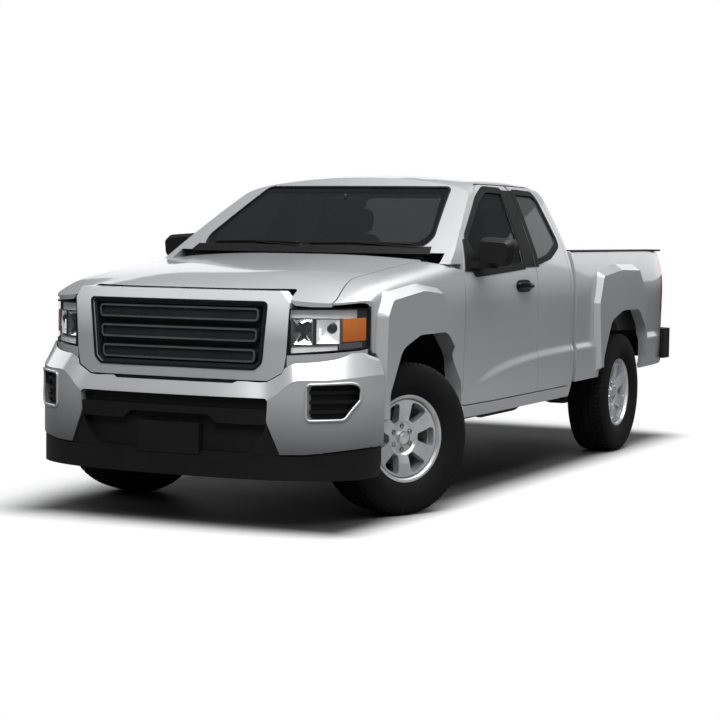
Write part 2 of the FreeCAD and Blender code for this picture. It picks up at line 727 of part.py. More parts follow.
BUMPER_OUTLINE = even([(496, 708, 10), (574, 750, 24), (594, 830, 14), (876, 850, 20), (956, 768, 10),
                       (960, 404, 10), (700, 372, 60), (420, 366, 20)])
BUMPER_MOUTH = even([(526, 634, 20), (520, 524, 60), (598, 340, 10)])
FOG_OUTLINE = [(706, 700, 16), (902, 708, 30), (898, 628, 20), (850, 540, 20), (706, 536, 16)]
FACET_LOW_Z = 618.0
FACET_SIDE_Z = 722.0
FACET_DEPTH = 50.0
FACET_RISE = 84.0


def facet_layer(depth):
    """Points of the bumper's upper facet: a strip that leans back and steps up beside the grille."""
    rows = []
    for k in range(-20, 21):
        a = math.radians(90 * k / 20)
        side = abs(math.sin(a)) ** (2 / BUMPER_POWER)
        foot = FACET_LOW_Z + (FACET_SIDE_Z - FACET_LOW_Z) * ease((BUMPER_HALF * side - 520) / 130)
        foot += 14 * ease((side - 0.8) / 0.2)
        deepest = FACET_DEPTH * (1 - 0.4 * ease((side - 0.9) / 0.1))
        row = []
        for j in range(5):
            lift = FACET_RISE * (j - 1) / 2
            inset = deepest * lift / FACET_RISE if depth is None else depth
            x = math.copysign((BUMPER_HALF - inset) * side, a)
            y = FRONT_Y + inset + (BUMPER_DEPTH - inset) * (1 - max(math.cos(a), 0.0) ** (2 / BUMPER_POWER))
            row.append((x, y, foot + lift))
        rows.append(row)
    return rows


def build_bumper():
    """Front bumper with a leaning upper facet, its centre opening and fog lamp recesses."""
    shell = bumper_plan(350, 860).cut(bumper_plan(340, 870, BUMPER_BACK))
    shell = shell.common(box(-FAR, FAR, -2800, BUMPER_END_Y, 300, 900))
    shell = shell.common(prism_y(BUMPER_OUTLINE, -2800, -2000))
    shell = shell.cut(prism_y(BUMPER_MOUTH, -2900, -2000))
    fog = prism_y(FOG_OUTLINE, -2900, -2300)
    shell = shell.cut(fog).cut(mirrored(fog))
    shell = shell.cut(slab(facet_layer(-90.0), facet_layer(None)))
    shell = shell.cut(nose(690, 900, -5))
    return largest(shell)


def build_fog_insert():
    """Left fog lamp blank: a recessed plate with three slats."""
    hole = prism_y(grown(FOG_OUTLINE, -SEAT), -2800, -2300)
    plate = bumper_plan(500, 750, 34).cut(bumper_plan(490, 760, BUMPER_BACK)).common(hole)
    parts = [largest(plate)]
    for z in (574, 620, 666):
        slat = bumper_plan(z - 8, z + 8, 18).cut(bumper_plan(z - 18, z + 18, 40)).common(hole)
        parts.append(largest(slat.common(box(0, FAR, -2800, -2300, z - 8, z + 8))))
    return fused(*parts)


def build_valance():
    """Black lower valance with the plate block and lower grille."""
    lower = bumper_plan(230, 420, 6).cut(bumper_plan(220, 430, BUMPER_BACK))
    lower = lower.common(box(-FAR, FAR, -2800, BUMPER_END_Y - 12, 200, 430))
    lower = lower.common(prism_y(even([(420, 358, 10), (700, 364, 60), (945, 396, 10), (928, 246, 24)]),
                                 -2800, -2000))
    mouth = prism_y(grown(BUMPER_MOUTH, -SEAT), -2800, -2300)
    back = bumper_plan(340, 640, 44).cut(bumper_plan(330, 650, BUMPER_BACK)).common(mouth)
    bar = bumper_plan(500, 582, 8).cut(bumper_plan(490, 590, 50)).common(mouth)
    bar = bar.common(prism_y(even([(560, 578, 0), (560, 508, 0), (260, 508, 20), (216, 546, 20)]),
                             -2800, -2300))
    cheeks = bumper_plan(340, 520, 12).cut(bumper_plan(330, 530, 50)).common(mouth)
    cheeks = cheeks.cut(prism_y(even([(520, 530, 10), (500, 470, 20), (420, 366, 20)]), -2900, -2200))
    cheeks = sorted(cheeks.Solids, key=lambda c: -c.Volume)[:2]
    plate = box(-172, 172, FRONT_Y + 4, FRONT_Y + 60, 352, 500)
    return fused(largest(lower), largest(back), largest(bar), plate, *cheeks)


# Bed

BED_HALF = 734.0
BED_REAR_Y = 2600.0


def bedside_rows(inset, top=RAIL_Z):
    """Points of the bedside's skin, moved in by inset."""
    rows = []
    for k in range(10):
        y = BED_FRONT_Y - 20 + (REAR_Y - BED_FRONT_Y + 20) * k / 9
        line = crease_z(y)
        zs = [SKIRT_Z + (line - 66 - SKIRT_Z) * f for f in (0.0, 0.35, 0.7)]
        zs += [line + d for d in (-66, -50, -38, -26, -14, -2, 14, 44)]
        zs += [line + 44 + (top + 30 - line - 44) * f / 9 for f in range(1, 10)]
        rows.append([(side_x(y, z) - inset - max(0.0, y - 2300) ** 2 / 3200, y, z) for z in zs])
    return rows


BED_OUTLINE = [(BED_FRONT_Y, BED_BOTTOM_Z, 10), (BED_REAR_Y, BED_BOTTOM_Z + 8, 60),
               (BED_REAR_Y, RAIL_Z, 10), (BED_FRONT_Y, RAIL_Z, 10)]
TAIL_OUTLINE = [(2508, 1238, 12), (2700, 1238, 0), (2700, 886, 0), (2526, 886, 12)]


def build_bedside():
    """Left bedside: outer skin, rail, inner wall and arch flare."""
    skin = bedside_rows(0)
    wall = [[(BED_HALF, y, z) for x, y, z in row] for row in skin]
    block = slab(skin, wall).common(prism_x(BED_OUTLINE, 300, FAR))
    inner = bedside_rows(14)
    core = [[(BED_HALF + 12, y, z) for x, y, z in row] for row in inner]
    hollow = slab(inner, core).common(box(300, FAR, BED_FRONT_Y + 14, BED_REAR_Y - 14, 380, RAIL_Z - 26))
    block = largest(block.cut(hollow))
    block = block.cut(box(BED_HALF - 1, BED_HALF + 13, BED_FRONT_Y - 1, BED_REAR_Y + 1, 300,
                          BED_FLOOR_Z - BED_SHEET))
    raised = flare(FLARE_REAR)
    backing = bedside_rows(20)
    raised = raised.cut(slab(backing, [[(300.0, y, z) for x, y, z in row] for row in backing]))
    block = fused(largest(block), raised)
    block = block.cut(prism_x(arch(*ARCH_REAR), BED_HALF - 2, FAR))
    block = block.cut(prism_x(grown(TAIL_OUTLINE, 0.4), BED_HALF + 22, FAR))
    pin = rod((BED_HALF - 22, GATE_PIN_Y, GATE_PIN_Z), (BED_HALF + 4, GATE_PIN_Y, GATE_PIN_Z), GATE_PIN_R)
    block = fused(largest(block), pin)
    return largest(block)


BED_SHEET = 16.0
HOUSING_X = 564.0
HOUSING_TOP_Z = 1000.0


def build_bed():
    """Load bed: ribbed floor, front wall and wheel housings."""
    floor = box(-BED_HALF, BED_HALF, BED_FRONT_Y + 2, BED_REAR_Y - 66, BED_FLOOR_Z - BED_SHEET, BED_FLOOR_Z)
    ribs = [box(x - 24, x + 24, BED_FRONT_Y + 60, BED_REAR_Y - 66, BED_FLOOR_Z - 1, BED_FLOOR_Z + 9)
            for x in range(-500, 501, 100)]
    front = box(-BED_HALF, BED_HALF, BED_FRONT_Y + 2, BED_FRONT_Y + 34, BED_FLOOR_Z - BED_SHEET, RAIL_Z - 8)
    whole = fused(floor, front, *ribs)
    base = BED_FLOOR_Z - BED_SHEET
    for s in (-1, 1):
        x0, x1 = sorted((s * HOUSING_X, s * BED_HALF))
        whole = whole.fuse(prism_x([(AXLE_R - 480, base, 0), (AXLE_R - 400, HOUSING_TOP_Z, 160),
                                    (AXLE_R + 400, HOUSING_TOP_Z, 160), (AXLE_R + 480, base, 0)], x0, x1))
    whole = whole.removeSplitter()
    for s in (-1, 1):
        x0, x1 = sorted((s * (HOUSING_X + 12), s * (BED_HALF + 1)))
        whole = whole.cut(prism_x([(AXLE_R - 466, base - 1, 0), (AXLE_R - 392, HOUSING_TOP_Z - 12, 148),
                                   (AXLE_R + 392, HOUSING_TOP_Z - 12, 148), (AXLE_R + 466, base - 1, 0)],
                                  x0, x1))
    return largest(whole)


GATE_PIN_Y = 2571.0
GATE_PIN_Z = 828.0
GATE_PIN_R = 9.0


def build_tailgate():
    """Tailgate with a pressed middle and a top edge, hinged at its foot."""
    wide = BED_HALF - 6
    outline = [(2546, 812, 10), (2592, 812, 14), (2598, 1100, 200), (2592, 1300, 14), (2546, 1300, 10)]
    gate = prism_x(outline, -wide, wide)
    press = prism_y(even([(560, 1180, 40), (520, 900, 40)]), 2586, 2620)
    cup = prism_y(even([(96, 1266, 16), (96, 1206, 16)]), 2572, 2620)
    bore = rod((-FAR, GATE_PIN_Y, GATE_PIN_Z), (FAR, GATE_PIN_Y, GATE_PIN_Z), GATE_PIN_R + 0.3)
    ends = bore.cut(box(-wide + 22, wide - 22, 2500, 2700, 700, 900))
    return gate.cut(press).cut(cup).cut(ends)


def build_tail_lamp():
    """Left tail lamp at the rear corner of the bed."""
    skin = bedside_rows(1)
    wall = [[(BED_HALF + 24, y, z) for x, y, z in row] for row in skin]
    return largest(slab(skin, wall).common(prism_x(TAIL_OUTLINE, 300, FAR)).common(
        box(BED_HALF + 24, FAR, 2400, BED_REAR_Y + 6, 800, 1300)))


STEP_Z = 770.0
STEP_WALL = 8.0
STEP_FRONT_Y = REAR_Y - 85.5
HITCH_HOLE_R = 9.65
HITCH_HOLE_Y = 2655.0
PLATE_DEPTH = 26.0


def build_rear_bumper():
    """Step bumper, a folded shell with turned corners, a plate recess and a hole for a hitch ball."""
    outline = even([(905, 2480, 8), (905, 2640, 40), (820, REAR_Y, 60)])
    outline += even([(-878, 2480, 8), (-860, STEP_FRONT_Y, 20)])
    shell = prism_z(outline, 560, STEP_Z).cut(prism_z(grown(outline, -STEP_WALL), 550, STEP_Z - STEP_WALL))
    recess = even([(190, 740, 20), (170, 590, 20)])
    pan = prism_y(grown(recess, STEP_WALL), REAR_Y - PLATE_DEPTH - STEP_WALL, REAR_Y)
    shell = shell.fuse(pan).cut(prism_y(recess, REAR_Y - PLATE_DEPTH, REAR_Y + 5))
    hole = rod((0, HITCH_HOLE_Y, STEP_Z - 20), (0, HITCH_HOLE_Y, STEP_Z + 1), HITCH_HOLE_R)
    return largest(shell.cut(hole))


# Wheels

def wheel_place(side, axle):
    """Centre of a wheel as the truck stands straight."""
    return (side * TRACK / 2, axle, TYRE_RADIUS)


def build_tyre(side, axle):
    """Tyre with rounded shoulders, hollow where it sits on the rim."""
    w = TYRE_WIDTH / 2
    r = TYRE_RADIUS
    seat = RIM_RADIUS + 0.3
    outline = [(seat, -90), (RIM_RADIUS + 26, -w + 18), (r - 84, -w), (r - 34, -w + 6), (r - 12, -w + 20),
               (r - 2, -w + 44), (r, 0), (r - 2, w - 44), (r - 12, w - 20), (r - 34, w - 6), (r - 84, w),
               (RIM_RADIUS + 26, w - 18), (seat, 90), (seat, 72), (RIM_RADIUS + 60, w - 34),
               (r - 40, w - 50), (r - 26, 0), (r - 40, -w + 50), (RIM_RADIUS + 60, -w + 34), (seat, -72)]
    return revolved(outline, wheel_place(side, axle), (1, 0, 0))


def build_rim(side, axle):
    """Alloy wheel: barrel, domed cap, six flared spokes and a round recess for each nut."""
    cx, cy, cz = wheel_place(side, axle)
    w = RIM_WIDTH / 2
    r = RIM_RADIUS
    barrel = [(r + 6, -w), (r + 6, -w + 4), (r, -w + 8), (r, -w + 34), (r - 22, -w + 52), (r - 22, w - 60),
              (r, w - 40), (r, w - 8), (r + 6, w - 4), (r + 6, w), (r - 6, w), (r - 13, w - 12),
              (r - 15, w - 30), (r - 34, w - 60), (r - 34, -w + 50), (r - 10, -w + 20), (r - 6, -w)]
    face = [(0.0, w - 24), (20, w - 26), (33, w - 34), (36, w - 50), (76, w - 46), (88, w - 36),
            (130, w - 25), (r - 20, w - 15), (r - 14, w - 28), (r - 26, w - 58), (150, w - 62),
            (90, HUB_FACE), (0.0, HUB_FACE)]
    ring = revolved([(a, b * side) for a, b in barrel], (cx, cy, cz), (1, 0, 0))
    dish = revolved([(a, b * side) for a, b in face], (cx, cy, cz), (1, 0, 0))
    window = [(94, -16, 9), (94, 16, 9), (178, 52, 15), (186, 0, 200), (178, -52, 15)]
    for k in range(SPOKES):
        near = corner_wire(grown(window, 5), lambda y, z: V(side * (w + 10), y, z))
        deep = corner_wire(grown(window, -5), lambda y, z: V(side * (w - 110), y, z))
        cut = Part.makeLoft([near, deep], True, True)
        cut.rotate(V(0, 0, 0), V(1, 0, 0), 360.0 * k / SPOKES)
        cut.translate(V(cx, cy, cz))
        angle = math.radians(360.0 * k / SPOKES)
        ny, nz = cy + NUT_CIRCLE * math.sin(angle), cz + NUT_CIRCLE * math.cos(angle)
        pocket = rod((cx + side * (w - 62), ny, nz), (cx + side * w, ny, nz), NUT_POCKET_R)
        dish = dish.cut(cut).cut(pocket)
    return fused(ring, dish)


ARM_TOP_Z = 246.0
UPPER_ARM_Z = 532.0
DISC_R = 138.0


def build_knuckle(side):
    """Steering knuckle on its kingpin, with hub, brake disc and caliper."""
    cx, cy, cz = wheel_place(side, AXLE_F)
    s = side
    kx = s * KINGPIN_X
    inner = cx + s * (HUB_FACE - SEAT)
    disc = rod((inner - s * 44, cy, cz), (inner - s * 68, cy, cz), DISC_R)
    hub = rod((inner, cy, cz), (inner - s * 90, cy, cz), 64)
    pin = rod((kx, cy, ARM_TOP_Z + 0.3), (kx, cy, UPPER_ARM_Z - 0.3), 19)
    x0, x1 = sorted((inner - s * 30, inner - s * 82))
    caliper = box(x0, x1, cy + 70, cy + 146, cz - 70, cz + 70)
    return fused(disc, hub, pin, caliper)


def steered(shape, side):
    """A front wheel's piece turned by the steering at rest."""
    out = shape.copy()
    out.rotate(V(side * KINGPIN_X, AXLE_F, 0), V(0, 0, 1), -STEER_AT_REST)
    return out


# Underbody

RAIL_IN = 350.0
RAIL_OUT = 428.0
FRAME_TOP_Z = 512.0


SPARE_Y = 2190.0
SPARE_Z = 395.0
SPARE_DISC = 36.0
MEMBER_HALF = 25.0
CAB_MOUNTS = (-900, -300, 330)
MEMBERS = [(-2500, 458), (-1240, 418), (-560, 345), (300, 340), (1760, 600), (SPARE_Y, 525), (2575, 540)]


def build_rail():
    """Left frame rail, which kicks up over the rear axle, with its cab mounts."""
    end = STEP_FRONT_Y - SEAT
    side = [(FRONT_Y, 404, 0), (-1560, 404, 200), (-1250, 350, 200), (-1000, 330, 100), (800, 330, 150),
            (1050, 420, 300), (1500, 545, 200), (1900, 520, 300), (end, 480, 0), (end, 590, 0),
            (1900, 640, 300), (1500, 665, 200), (1050, 540, 300), (800, 450, 150), (-1000, 450, 100),
            (-1250, 468, 200), (-1560, FRAME_TOP_Z, 200), (FRONT_Y, FRAME_TOP_Z, 0)]
    ahead = box(0, FAR, FRONT_Y - 10, AXLE_F, 300, 700).cut(bumper_plan(290, 710, BUMPER_BACK + SEAT))
    mounts = [box(RAIL_IN + 10, RAIL_OUT - 10, y - 34, y + 34, 440, LEDGE_Z) for y in CAB_MOUNTS]
    return fused(prism_x(side, RAIL_IN, RAIL_OUT).cut(ahead), *mounts)


def build_members():
    """Cross members between the rails, one of them with the spare wheel's hanger."""
    members = []
    for y, z in MEMBERS:
        member = box(-RAIL_IN, RAIL_IN, y - 30, y + 30, z - MEMBER_HALF, z + MEMBER_HALF)
        if y == SPARE_Y:
            member = fused(member, rod((0, y, SPARE_Z + SPARE_DISC + SEAT), (0, y, z - MEMBER_HALF + 5), 40))
        members.append(member)
    return Part.makeCompound(members)


TAIL_SHAFT_Y = -520.0
TAIL_SHAFT_Z = 480.0
PINION_REACH = 182.0
JOINT_GAP = 1.8


def build_engine():
    """Engine block at its real place, on two mounts, with the gearbox behind it."""
    block = box(-250, 250, -2120, -1420, 560, 1120)
    gearbox = rod((0, -1421, 600), (0, -1000, 545), 118)
    tail = rod((0, -1001, 520), (0, TAIL_SHAFT_Y, TAIL_SHAFT_Z), 62)
    foot = FRAME_TOP_Z + SEAT
    mount = prism_y([(249, foot, 0), (RAIL_OUT - 20, foot, 0), (RAIL_OUT - 20, 560, 8), (249, 660, 0)], -2010, -1930)
    return fused(block, gearbox, tail, mount, mirrored(mount))


def build_propshaft():
    """Propeller shaft from the gearbox to the rear axle."""
    front = (0, TAIL_SHAFT_Y + JOINT_GAP, TAIL_SHAFT_Z)
    return rod(front, (0, AXLE_R - PINION_REACH - JOINT_GAP, TYRE_RADIUS + 12), 36)


def build_rear_axle():
    """Live axle, one turned form: tubes that swell into the differential, and brake drums."""
    drum_in, drum_out = 640.0, TRACK / 2 + HUB_FACE - SEAT
    half = [(drum_out, 0), (drum_out, 150), (drum_in + 12, 150), (drum_in, 142), (drum_in, 62),
            (drum_in - 30, 44), (250, 44), (170, 60), (128, 98), (84, 132), (40, 142)]
    profile = [(-w, r) for w, r in half] + [(w, r) for w, r in reversed(half)]
    axle = revolved([(r, w) for w, r in profile], (0, AXLE_R, TYRE_RADIUS), (1, 0, 0))
    pinion = rod((0, AXLE_R - PINION_REACH, TYRE_RADIUS + 12), (0, AXLE_R - 90, TYRE_RADIUS + 6), 58)
    return fused(axle, pinion)


def build_springs():
    """Leaf springs under the axle, with hangers and dampers."""
    parts = []
    for s in (-1, 1):
        a, b = sorted((s * 470, s * 540))
        leaf = prism_x([(860, 430, 0), (AXLE_R, 262, 900), (2140, 470, 0), (2140, 486, 0),
                        (AXLE_R, 292, 900), (860, 446, 0)], a, b)
        seat = box(a, b, AXLE_R - 60, AXLE_R + 60, 300, TYRE_RADIUS - 44.3)
        a, b = sorted((s * (RAIL_OUT + SEAT), s * 540))
        front = box(a, b, 840, 900, 425, 470)
        rear = box(a, b, 2110, 2160, 465, 560)
        parts += [leaf.fuse([front, rear, seat])]
    return Part.makeCompound([largest(p.removeSplitter()) for p in parts])


def build_front_suspension():
    """Cross member with lower and upper arms and coil struts."""
    whole = [box(-300, 300, AXLE_F - 90, AXLE_F + 90, ARM_TOP_Z - 24, 403.7)]
    for s in (-1, 1):
        kx = s * KINGPIN_X
        for z, base in ((ARM_TOP_Z - 24, 290), (UPPER_ARM_Z, 404)):
            for swing in (-1, 1):
                a, b = V(s * base, AXLE_F + swing * 90, z), V(kx, AXLE_F, z)
                leg = prism_z([(a.x, a.y - 20, 0), (a.x, a.y + 20, 0), (b.x, b.y + 17, 0), (b.x, b.y - 17, 0)],
                              z, z + 24)
                whole.append(leg)
            whole.append(rod((kx, AXLE_F, z), (kx, AXLE_F, z + 24), 19))
        x0, x1 = sorted((s * 372, s * 418))
        whole.append(box(x0, x1, AXLE_F - 116, AXLE_F + 116, 512.3, 720))
        x0, x1 = sorted((s * 372, s * 590))
        whole.append(box(x0, x1, AXLE_F - 60, AXLE_F + 60, 700, 720))
        whole.append(rod((s * 560, AXLE_F, ARM_TOP_Z - 20), (s * 530, AXLE_F, 701), 24))
        whole.append(rod((s * 546, AXLE_F, 430), (s * 531, AXLE_F, 690), 54))
    whole.append(box(-RAIL_OUT + 2, RAIL_OUT - 2, AXLE_F - 60, AXLE_F + 60, 380, 403.7))
    return fused(*whole)


def build_exhaust():
    """Exhaust pipe close under its cross member, muffler and tail pipe."""
    x, r = 230.0, 27.0
    z = dict(MEMBERS)[300] - MEMBER_HALF - r - SEAT
    down = rod((x, -1190, 430), (x, -820, z), r)
    bend = Part.makeSphere(r, V(x, -820, z))
    along = rod((x, -820, z), (x, 705, z), r)
    muffler = rod((x, 700, z + 45), (x, 1230, z + 45), 84)
    tail = rod((x, 1220, z + 55), (x - 80, 1290, z + 15), r - 3)
    return fused(down, bend, along, muffler, tail)


def build_tank():
    """Fuel tank beside the propeller shaft."""
    return box(-RAIL_IN + SEAT, -90, -505, 245, 250, 440)


def build_spare():
    """Spare wheel hung flat under the bed."""
    outline = [(0, SPARE_DISC), (110, SPARE_DISC), (150, 54), (184, 54), (206, 88), (330, 90), (352, 72),
               (360, 40), (360, -40), (352, -72), (330, -90), (206, -88), (184, -40), (176, 38), (150, 40),
               (110, SPARE_DISC - 14), (0, SPARE_DISC - 14)]
    return revolved(outline, (0, SPARE_Y, SPARE_Z), (0, 0, 1))


# Inside

def build_dashboard():
    """Dashboard across the cab behind the firewall."""
    front = FIREWALL_Y + FIREWALL_SHEET + SEAT
    dash = prism_x([(front, 1000, 20), (-1100, 940, 30), (-900, 900, 40), (-830, 1030, 50),
                    (-840, 1180, 60), (-960, 1250, 60), (front, 1258, 10)], -760, 760)
    return largest(dash.cut(column_rod(26)))


def build_seat(x):
    """A front seat with its cushion, back and headrest."""
    base = box(x - 230, x + 230, -620, -120, 492, 800)
    back = prism_x([(-190, 790, 40), (-60, 800, 40), (80, 1420, 40), (-20, 1430, 40)], x - 240, x + 240)
    head = prism_x([(20, 1430, 30), (110, 1420, 30), (130, 1570, 40), (50, 1580, 40)], x - 130, x + 130)
    posts = [rod((x + s * 60, 50, 1400), (x + s * 60, 75, 1460), 7) for s in (-1, 1)]
    return fused(base, back, head, *posts)


def build_bench():
    """Rear bench across the cab."""
    bench = fused(box(-640, 640, 200, 460, 492, 820), box(-640, 640, 380, 470, 700, 1300))
    return bench.cut(box(-142, 142, 150, 500, 480, 612))


WHEEL_AT = (370, -690, 1130)
COLUMN_TILT = -65


def column_rod(r):
    """The steering column's place, as a round bar of radius r."""
    bar = rod((0, 0, 0), (0, 0, -260), r)
    bar.rotate(V(0, 0, 0), V(1, 0, 0), COLUMN_TILT)
    bar.translate(V(*WHEEL_AT))
    return bar


def build_steering():
    """Steering wheel on its column."""
    wheel = fused(Part.makeTorus(180, 15), box(-170, 170, -14, 14, -10, 10))
    wheel.rotate(V(0, 0, 0), V(1, 0, 0), COLUMN_TILT)
    wheel.translate(V(*WHEEL_AT))
    return fused(wheel, column_rod(24))


def side_layer(inset):
    """Points of the side skin round the windows, moved in by inset."""
    return [[(side_x(y, z) - inset, y, z) for z in [1160 + 580 * k / 12 for k in range(13)]]
            for y in [-1200 + 1750 * k / 8 for k in range(9)]]


def build_mirror():
    """Left door mirror on its arm."""
    outline = [(872, 1238, 30), (1088, 1246, 60), (1102, 1396, 50), (892, 1410, 40)]
    face = corner_wire(outline, lambda x, z: V(x, -884, z))
    bulge = corner_wire(grown(outline, -3), lambda x, z: V(x, -950, z))
    nearer = corner_wire(grown(outline, -24), lambda x, z: V(x, -1000, z))
    head = fused(Part.makeLoft([face, bulge], True, True), Part.makeLoft([bulge, nearer], True, True))
    arm = prism_z([(850, -1098, 0), (850, -1022, 0), (920, -990, 20), (960, -900, 10), (1000, -940, 10),
                   (930, -1060, 40)], 1238, 1276)
    skin = [[(x + SEAT, y, z) for x, z in cab_section(y)] for y in CAB_STATIONS]
    foot = slab(skin, [[(500.0, y, z) for x, y, z in row] for row in skin])
    return largest(fused(head, arm).cut(foot))


def build_radiator(bonnet):
    """Radiator core in its support: posts on the frame rails and a tie bar with bonnet stops."""
    core = box(-RAIL_IN, RAIL_IN, -2470, -2420, 530, 1020)
    whole = [core]
    low, high = 1010.0, 1052.0
    whole.append(nose(low, high, SURROUND_BACK + SEAT).cut(nose(low - 9, high + 9, 128)).common(
        box(-590, 590, -2700, -2300, low, high)))
    whole.append(nose(low, high, LAMP_DEPTH + SEAT).cut(nose(low - 9, high + 9, 150)).common(
        box(-840, 840, -2700, -2200, low, high)))
    whole.append(box(-RAIL_OUT, RAIL_OUT, -2530, -2412, low, high))
    stops = []
    for s in (-1, 1):
        x0, x1 = sorted((s * (RAIL_IN - 6), s * RAIL_OUT))
        whole.append(box(x0, x1, -2480, -2412, FRAME_TOP_Z + SEAT, high))
        stop = rod((s * 400, -2500, high - 5), (s * 400, -2500, 1400), 14)
        gap = bonnet.copy()
        gap.translate(V(0, 0, -SEAT))
        stops.append(min(stop.cut(gap).Solids, key=lambda a: a.CenterOfMass.z))
    return largest(fused(*whole, *stops))


def build_liners():
    """Left wheel liner over the front wheel."""
    shell = prism_x(grown(arch(*ARCH_FRONT), 8), 470, FLARE_BASE_X - SEAT)
    shell = shell.cut(prism_x(arch(*ARCH_FRONT), 400, 900))
    return largest(shell.cut(box(300, 1000, -3000, 0, 0, 476)))


def build_cowl():
    """Black cowl under the bonnet's rear edge, up to the windscreen, with the bonnet's hinge pins."""
    low, back = COWL_FLOOR_Z - 8, FIREWALL_Y - SEAT
    front = HINGE_Y + 20
    block = prism_x([(-1420, low, 4), (back, low, 0), (back, SCREEN_FOOT_Z - SEAT, 0),
                     (front, SCREEN_FOOT_Z - SEAT, 0), (front, COWL_FLOOR_Z, 6), (-1420, COWL_FLOOR_Z, 4)],
                    -690, 690)
    parts = [block]
    for s in (-1, 1):
        for off in (-14, 16):
            x0, x1 = sorted((s * (HINGE_ARM_X + off), s * (HINGE_ARM_X + off + 10)))
            parts.append(prism_x([(HINGE_Y - 22, low + 2, 0), (HINGE_Y + 20, low + 2, 0),
                                  (HINGE_Y + 13, HINGE_Z + 12, 11), (HINGE_Y - 13, HINGE_Z + 12, 11)], x0, x1))
        pin_from, pin_to = s * (HINGE_ARM_X - 8), s * (HINGE_ARM_X + 20)
        parts.append(rod((pin_from, HINGE_Y, HINGE_Z), (pin_to, HINGE_Y, HINGE_Z), HINGE_PIN_R))
    return largest(fused(*parts))


NODES = {}


def main():
    """Build every piece and write it to its own file."""
    os.makedirs("parts", exist_ok=True)
    cab = half_shell(cab_section, CAB_STATIONS, lambda points: lined(points, cab_wall))
    n = NODES
    n["cab_shell"] = build_cab(cab)
    n["cab_floor"] = both(build_floor())
    n["cab_tunnel"] = build_tunnel()
    n["firewall"] = build_firewall()
    door = cab.common(prism_x(front_door_outline(), 300, FAR)).cut(prism_x(FRONT_WINDOW, 300, FAR))
    door = door.cut(split_wedge(DOOR_SPLIT_Y, 62, 0.12, 0.24, 1))
    access = cab.common(prism_x(rear_door_outline(), 300, FAR)).cut(prism_x(QUARTER_WINDOW, 300, FAR))
    access = access.cut(split_wedge(DOOR_SPLIT_Y + PANEL_GAP, 62, 0.2, 0.5, -1))
    n["door_front_left"] = largest(door)
    n["door_front_right"] = mirrored(n["door_front_left"])
    n["door_rear_left"] = largest(access)
    n["door_rear_right"] = mirrored(n["door_rear_left"])
    n["door_glass_left"] = side_pane(grown(FRONT_WINDOW, -0.4))
    n["door_glass_right"] = mirrored(n["door_glass_left"])
    n["quarter_glass_left"] = side_pane(grown(QUARTER_WINDOW, -0.4))
    n["quarter_glass_right"] = mirrored(n["quarter_glass_left"])
    n["fixed_glass"] = Part.makeCompound([
        pane(screen_y, prism_y(grown(SCREEN_OUTLINE, -0.4), -1700, -200), 1180, 1850, 14),
        pane(back_y, prism_y(grown(BACKLIGHT_OUTLINE, -0.4), 300, 700), 1180, 1850, -12)])
    n["bonnet"] = build_bonnet()
    n["fenders"] = both(build_fender())
    n["wheel_liners"] = both(build_liners())
    n["headlamps"] = both(build_headlamp())
    n["grille_surround"] = build_surround()
    n["grille"] = build_grille()
    n["front_bumper"] = build_bumper()
    n["fog_inserts"] = both(build_fog_insert())
    n["front_valance"] = build_valance()
    n["radiator"] = build_radiator(n["bonnet"])
    n["cowl"] = build_cowl()
    n["bedsides"] = both(build_bedside())
    n["bed_box"] = build_bed()
    n["tailgate"] = build_tailgate()
    n["tail_lamps"] = both(build_tail_lamp())
    n["rear_bumper"] = build_rear_bumper()
    n["frame_rail_left"] = build_rail()
    n["frame_rail_right"] = mirrored(n["frame_rail_left"])
    n["cross_members"] = build_members()
    n["engine"] = build_engine()
    n["propshaft"] = build_propshaft()
    n["rear_axle"] = build_rear_axle()
    n["leaf_springs"] = build_springs()
    n["front_suspension"] = build_front_suspension()
    n["exhaust"] = build_exhaust()
    n["fuel_tank"] = build_tank()
    n["spare_wheel"] = build_spare()
    n["dashboard"] = build_dashboard()
    n["front_seats"] = Part.makeCompound([build_seat(-370), build_seat(370)])
    n["rear_bench"] = build_bench()
    n["steering_wheel"] = build_steering()
    n["mirror_left"] = build_mirror()
    n["mirror_right"] = mirrored(n["mirror_left"])
    for name, side in (("left", 1), ("right", -1)):
        n["knuckle_" + name] = steered(build_knuckle(side), side)
        n["rim_front_" + name] = steered(build_rim(side, AXLE_F), side)
        n["tyre_front_" + name] = steered(build_tyre(side, AXLE_F), side)
        n["rim_rear_" + name] = build_rim(side, AXLE_R)
        n["tyre_rear_" + name] = build_tyre(side, AXLE_R)
    for name, shape in n.items():
        shape.exportStep("parts/" + name + ".step")


if __name__ == "__main__":
    main()
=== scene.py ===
"""Looks of a silver extended-cab pickup truck, built round its fixed frame.

Metres. The truck faces -Y, its left side is +X, +Z is up, and the floor is z = 0.
"""
import json
import math

import bmesh
import bpy
import numpy as np
from mathutils import Matrix, Vector


